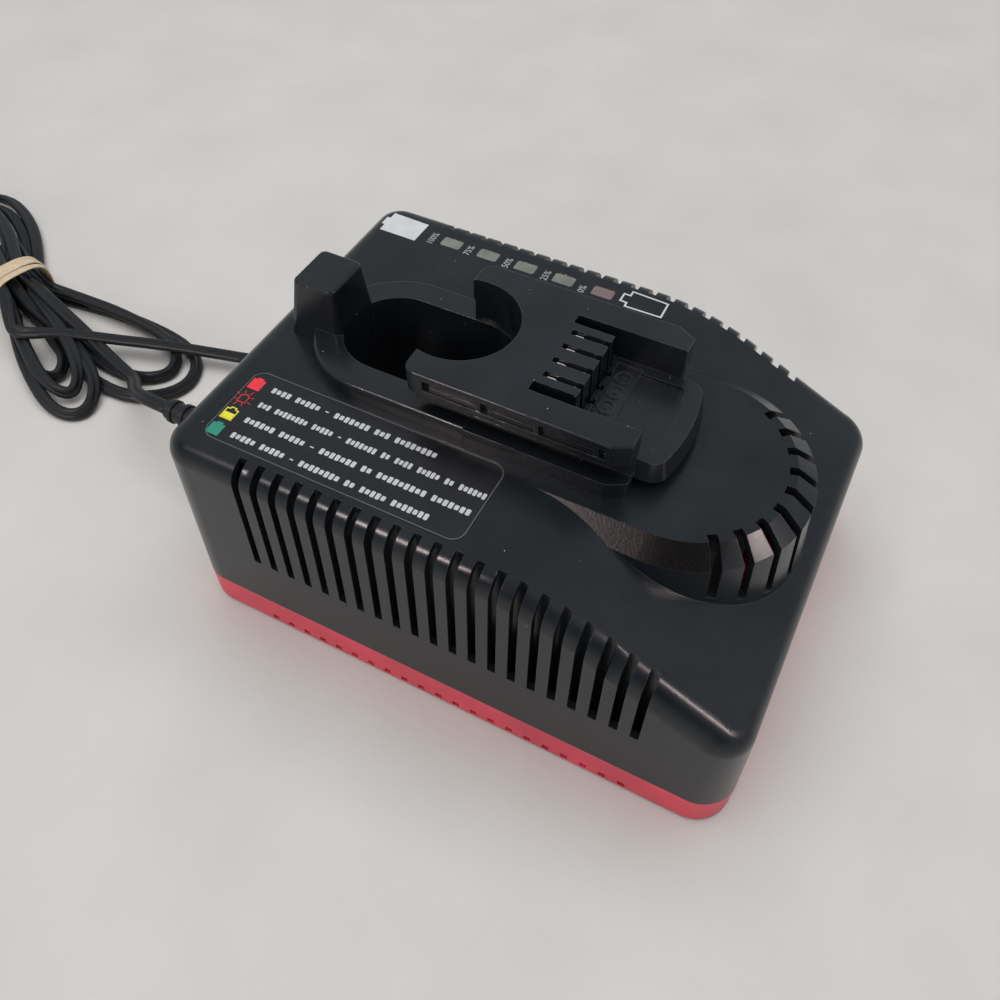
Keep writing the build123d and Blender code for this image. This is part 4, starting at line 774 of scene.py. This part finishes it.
# %% Print the sticker's marks
full_mark = battery_outline(mark_length, mark_height, 0.8)
half_fill = [(-2.7, -2.3), (0.2, -2.3), (0.2, 2.3), (-2.7, 2.3)]
flash_mark = battery_outline(4.2, 3.6, 0.6)
mark_line, flash_line = 0.45, 0.28
ray_count = 8
ray_start, ray_short, ray_long = 2.7, 3.9, 4.5
ray_half_width = 0.13
red_mesh, yellow_mesh, green_mesh = bmesh.new(), bmesh.new(), bmesh.new()
print_shape(red_mesh, placed(full_mark, row_xs[0], mark_y), label_top)
print_shape(green_mesh, placed(full_mark, row_xs[3], mark_y), label_top)
print_line(yellow_mesh, placed(full_mark, row_xs[2], mark_y), mark_line, label_top)
print_shape(yellow_mesh, placed(half_fill, row_xs[2], mark_y), label_top)
print_line(red_mesh, placed(flash_mark, row_xs[1], mark_y), flash_line, label_top)
for turn in range(ray_count):
    angle = 2 * pi * (turn + 0.5) / ray_count
    way = Vector((cos(angle), sin(angle)))
    side = Vector((-way.y, way.x)) * ray_half_width
    start, end = way * ray_start, way * (ray_long if turn % 2 else ray_short)
    ray = [tuple(start - side), tuple(end - side), tuple(end + side), tuple(start + side)]
    print_shape(red_mesh, placed(ray, row_xs[1], mark_y), label_top)
ink("red_marks", (0.80, 0.035, 0.050), red_mesh)
ink("yellow_mark", (0.78, 0.72, 0.04), yellow_mesh)
ink("green_mark", (0.02, 0.26, 0.18), green_mesh)

# %% [markdown]
# ### The charge scale
# On the far edge of the deck five small windows show how full the battery is. Plain numbers beside
# them run from 100 % down to 0 %, between a filled and an empty battery mark. The numbers are set with
# Blender's own font, turned into a mesh and squeezed to the width that the deck leaves for them.

# %% Print the charge scale
number_width, number_height = 7.0, 2.9
number_x = 60.2
scale_marks = [("100%", 80.4), ("75%", 62.9), ("50%", 44.9), ("25%", 27.3), ("0%", 10.8)]


def print_number(text, x, y, surface):
    """A thin solid number, its lower left corner at x, y and its size fixed."""
    letters = bpy.data.curves.new("number", "FONT")
    letters.body = text
    letters.extrude = ink_film / 2
    letters.resolution_u = 3
    holder = bpy.data.objects.new("number", letters)
    scene.collection.objects.link(holder)
    bpy.context.view_layer.update()
    data = bpy.data.meshes.new_from_object(holder)
    bpy.data.objects.remove(holder)
    made = bmesh.new()
    made.from_mesh(data)
    bpy.data.meshes.remove(data)
    xs = [vertex.co.x for vertex in made.verts]
    ys = [vertex.co.y for vertex in made.verts]
    # a shorter number is set narrower
    width = number_width * min(1.0, len(text) / 4 + 0.12)
    stretch_x, stretch_y = width / (max(xs) - min(xs)), number_height / (max(ys) - min(ys))
    for vertex in made.verts:
        height = surface + ink_gap + ink_film / 2 + vertex.co.z
        vertex.co = Vector((x + (vertex.co.x - min(xs)) * stretch_x,
                            y + (vertex.co.y - min(ys)) * stretch_y, height)) * mm
    bmesh.ops.remove_doubles(made, verts=made.verts, dist=0.001 * mm)
    return made


scale_mesh = bpy.data.meshes.new("charge_scale")
joined = bmesh.new()
for text, y in scale_marks:
    number = print_number(text, number_x, y - number_height / 2, deck_level)
    number.to_mesh(scale_mesh)
    number.free()
    joined.from_mesh(scale_mesh)
bpy.data.meshes.remove(scale_mesh)
ink("charge_numbers", (0.42, 0.43, 0.44), joined)
print("numbers on the deck", [text for text, _ in scale_marks])

# %% Print the batteries at its ends
battery_line = 0.75
full_battery = [(58.4, 86.5), (70.6, 86.4), (71.2, 103.7), (67.5, 103.8), (67.4, 105.3), (62.6, 105.3),
                (62.5, 103.8), (58.6, 103.7)]
empty_battery = [(60.4, -24.0), (69.7, -23.8), (70.5, -7.9), (67.8, -7.9), (67.9, -5.2), (62.6, -5.2),
                 (62.5, -8.0), (60.2, -8.1)]
battery_mesh = bmesh.new()
print_shape(battery_mesh, full_battery, deck_level)
print_line(battery_mesh, empty_battery, battery_line, deck_level)
ink("battery_marks", (0.62, 0.63, 0.65), battery_mesh)
print("battery marks", len(full_battery), "and", len(empty_battery), "corners")

# %% [markdown]
# ## Small parts and what is inside
# Each of the remaining materials gets a short recipe of its own. Most are two tones mixed by noise
# with a matching relief; a stretch turns the noise into brushed metal or wound tape. The inside is
# rarely seen, but it shows when the model is taken apart.

# %% A recipe for small parts
def small_finish(name, first, second, size, roughness, nodes, metallic=0.0, depth=0.01 * mm,
                 stretch=(1.0, 1.0, 1.0), specular=0.5):
    """Two tones mixed by stretched noise, with relief from the same noise."""
    material, tree, shader = new_finish(name, first, roughness, metallic, specular)
    pattern = mottle(tree, size, 3.0, stretch)
    tree.links.new(mixed(tree, spread(tree, pattern, 0.32, 0.68), first, second),
                   shader.inputs["Base Color"])
    rough = spread(tree, pattern, 0.3, 0.7, roughness - 0.05, roughness + 0.05)
    tree.links.new(rough, shader.inputs["Roughness"])
    relief(tree, shader, pattern, depth)
    dress(material, *nodes)


small_finish("foot_rubber", (0.012, 0.012, 0.013), (0.022, 0.022, 0.023), 0.6 * mm, 0.78, ["rubber_feet"],
             depth=0.04 * mm)
small_finish("screw_steel", (0.42, 0.42, 0.41), (0.56, 0.56, 0.54), 1.2 * mm, 0.34,
             ["case_screws", "deck_screws", "board_screws", "lamp_screws", "strap_screws"], metallic=1.0)
small_finish("contact_metal", (0.80, 0.79, 0.76), (0.90, 0.89, 0.87), 1.0 * mm, 0.26,
             [*(f"dock_contact_{n}" for n in (1, 2, 3, 4)), *(f"stem_contact_{n}" for n in (1, 2, 3)),
              "fuse_clips"], metallic=0.45, stretch=(1.0, 1.0, 12.0), depth=0.006 * mm)
small_finish("component_plastic", (0.014, 0.014, 0.016), (0.024, 0.024, 0.026), 0.5 * mm, 0.45,
             ["contact_carrier", "power_transistors", "rectifier"])
small_finish("capacitor_sleeve", (0.012, 0.016, 0.045), (0.020, 0.026, 0.070), 3.0 * mm, 0.28,
             ["capacitors"])
small_finish("header_plastic", (0.62, 0.60, 0.52), (0.74, 0.72, 0.64), 2.0 * mm, 0.50, ["wire_header"])
small_finish("sink_aluminium", (0.62, 0.63, 0.64), (0.74, 0.75, 0.76), 0.8 * mm, 0.38, ["heatsink"],
             metallic=1.0, stretch=(1.0, 1.0, 20.0))
small_finish("core_steel", (0.16, 0.15, 0.14), (0.30, 0.28, 0.26), 0.5 * mm, 0.50, ["transformer_core"],
             metallic=0.8, stretch=(40.0, 1.0, 40.0), depth=0.05 * mm)
# The winding tape is made nearly black: painted shade for the dark inside that shows through the dome
# slots.
small_finish("winding_tape", (0.020, 0.017, 0.014), (0.036, 0.030, 0.024), 6.0 * mm, 0.34,
             ["transformer_winding"], stretch=(8.0, 8.0, 0.6), depth=0.04 * mm)
small_finish("strap_steel", (0.46, 0.46, 0.44), (0.62, 0.61, 0.58), 4.0 * mm, 0.36, ["transformer_strap"],
             metallic=1.0)
# The red leads are made a very dark red: painted shade for the dark inside that shows through the dome
# slots.
small_finish("wire_red", (0.060, 0.004, 0.004), (0.095, 0.006, 0.006), 2.0 * mm, 0.36,
             ["contact_leads", "lamp_leads"])
small_finish("wire_black", (0.010, 0.010, 0.011), (0.020, 0.020, 0.021), 2.0 * mm, 0.36,
             ["stem_leads", "mains_leads", "transformer_leads"])
small_finish("lamp_resin", (0.70, 0.66, 0.62), (0.80, 0.78, 0.74), 2.0 * mm, 0.15, ["lamps"])
small_finish("blade_brass", (0.70, 0.62, 0.42), (0.80, 0.74, 0.56), 0.8 * mm, 0.28, ["plug_blades"],
             metallic=1.0, stretch=(1.0, 14.0, 1.0))
small_finish("status_film", (0.0085, 0.0090, 0.0105), (0.0120, 0.0125, 0.0140), 9.0 * mm, 0.33,
             ["status_label"], depth=0.004 * mm)

# %% [markdown]
# ### Boards, glass and windows
# The circuit boards are green laminate whose copper tracks show through the lacquer as paler squares
# and lines, which a cell texture with straight edges gives. The fuse is a glass tube. The windows are
# one clear moulding, milky from its rough underside, that looks grey over the unlit lamps; the lowest
# one has a red lamp under it and looks pink.

# %% Finish the boards
board_finish, board_tree, board_shader = new_finish("board_laminate", (0.015, 0.10, 0.045), 0.32)
board_place = add(board_tree, "TexCoord").outputs["Object"]
tracks = add(board_tree, "TexVoronoi", {"Vector": board_place, "Scale": 1 / (7 * mm)},
             distance="CHEBYCHEV", feature="DISTANCE_TO_EDGE")
track_share = spread(board_tree, tracks.outputs["Distance"], 0.05, 0.09)
board_colour = mixed(board_tree, track_share, (0.035, 0.20, 0.085), (0.012, 0.085, 0.040))
board_tree.links.new(board_colour, board_shader.inputs["Base Color"])
relief(board_tree, board_shader, track_share, 0.03 * mm)
dress(board_finish, "main_board", "lamp_board")

# %% Finish the glass and the windows
glass_finish, glass_tree, glass_shader = new_finish("fuse_glass", (0.80, 0.84, 0.84), 0.08)
glass_shader.inputs["Transmission Weight"].default_value = 0.7
relief(glass_tree, glass_shader, mottle(glass_tree, 3 * mm), 0.02 * mm)
dress(glass_finish, "fuse")

window_finish, window_tree, window_shader = new_finish("window_plastic", (0.20, 0.21, 0.20), 0.30)
window_place = add(window_tree, "SeparateXYZ", {"Vector": add(window_tree, "TexCoord").outputs["Object"]})
lowest_window = spread(window_tree, window_place.outputs["Y"], 12 * mm, 6 * mm)
milk = mixed(window_tree, spread(window_tree, mottle(window_tree, 5 * mm, 3.0), 0.3, 0.7),
             (0.150, 0.160, 0.145), (0.235, 0.240, 0.205))
milk = mixed(window_tree, lowest_window, milk, (0.195, 0.140, 0.142))
window_tree.links.new(milk, window_shader.inputs["Base Color"])
relief(window_tree, window_shader, mottle(window_tree, 0.6 * mm), 0.02 * mm)
window_shader.inputs["Subsurface Weight"].default_value = 0.2
window_shader.inputs["Subsurface Scale"].default_value = 2 * mm
dress(window_finish, "light_windows")
print("finishes", len(bpy.data.materials))

# %% [markdown]
# ## The table and the light
# The charger stands on a pale cloth-covered table in a bright room. The floor is a very light warm
# grey with faint mottling. The room is a pale world that turns dark high up on the label side, so
# the glossy black there has little to mirror. Glossy black shows a lamp twice, as flat light and as
# its mirror image, and each is set on its own here. A broad ceiling lamp and a low fill lamp give
# flat light and aren't mirrored. Three small lamps are mirrored and light nothing else: the window
# lamp and the spot lamp draw the bright spots on the vents' rounded shoulders, and the front lamp
# draws the glints on the dome and where the shoulder ends.

# %% Lay the table
floor_mesh = bmesh.new()
bmesh.ops.create_grid(floor_mesh, x_segments=2, y_segments=2, size=6.0)
floor = finish_mesh("table", floor_mesh)
floor_finish, floor_tree, floor_shader = new_finish("table_cloth", (0.62, 0.60, 0.585), 0.9, specular=0.2)
cloth = mixed(floor_tree, spread(floor_tree, mottle(floor_tree, 60 * mm, 4.0), 0.3, 0.7),
              (0.585, 0.568, 0.550), (0.625, 0.608, 0.590))
floor_tree.links.new(cloth, floor_shader.inputs["Base Color"])
relief(floor_tree, floor_shader, mottle(floor_tree, 1.2 * mm, 3.0), 0.08 * mm)
floor.data.materials.append(floor_finish)

# %% Hang the lamps
room = bpy.data.worlds.new("room")
room.use_nodes = True
room_tree = room.node_tree
outward = add(room_tree, "SeparateXYZ", {"Vector": add(room_tree, "TexCoord").outputs["Generated"]})
label_side = spread(room_tree, outward.outputs["X"], -0.10, -0.50)
high_up = spread(room_tree, outward.outputs["Z"], 0.20, 0.40)
shade = maths(room_tree, "MULTIPLY", label_side, high_up)
walls = mixed(room_tree, shade, (0.385, 0.410, 0.440), (0.050, 0.052, 0.056))
room_tree.links.new(walls, room_tree.nodes["Background"].inputs["Color"])
scene.world = room


def hang_lamp(name, place, aim, size, watts, colour, mirrored=True, spread_out=True):
    """A rectangular soft lamp turned towards a point, for gloss (mirrored), for flat light or for both."""
    lamp_data = bpy.data.lights.new(name, "AREA")
    lamp_data.shape = "RECTANGLE"
    lamp_data.size, lamp_data.size_y = size
    lamp_data.energy = watts
    lamp_data.color = colour
    lamp = bpy.data.objects.new(name, lamp_data)
    lamp.location = place
    lamp.rotation_euler = (Vector(aim) - Vector(place)).to_track_quat("-Z", "Y").to_euler()
    lamp.visible_glossy = mirrored
    lamp.visible_diffuse = spread_out
    scene.collection.objects.link(lamp)


hang_lamp("ceiling_lamp", (0.0, 0.1, 2.2), (0.0, 0.1, 0.0), (2.8, 2.8), 49.5, (1.0, 0.98, 0.955),
          mirrored=False)
hang_lamp("fill_lamp", (-1.50, 0.0, 0.60), (0.0, 0.0, 0.03), (1.2, 0.7), 5.5, (1.0, 0.98, 0.96),
          mirrored=False)
hang_lamp("window_lamp", (-0.79, 0.51, 0.97), (0.0, 0.51, 0.05), (0.30, 0.10), 3.0, (1.0, 0.96, 0.96),
          spread_out=False)
hang_lamp("spot_lamp", (-0.79, 0.43, 0.97), (0.0, 0.0, 0.05), (0.08, 0.08), 2.6, (1.0, 0.76, 0.76),
          spread_out=False)
hang_lamp("front_lamp", (0.07, -1.14, 0.93), (0.0, 0.0, 0.07), (0.12, 0.22), 4.2, (1.0, 0.82, 0.81),
          spread_out=False)
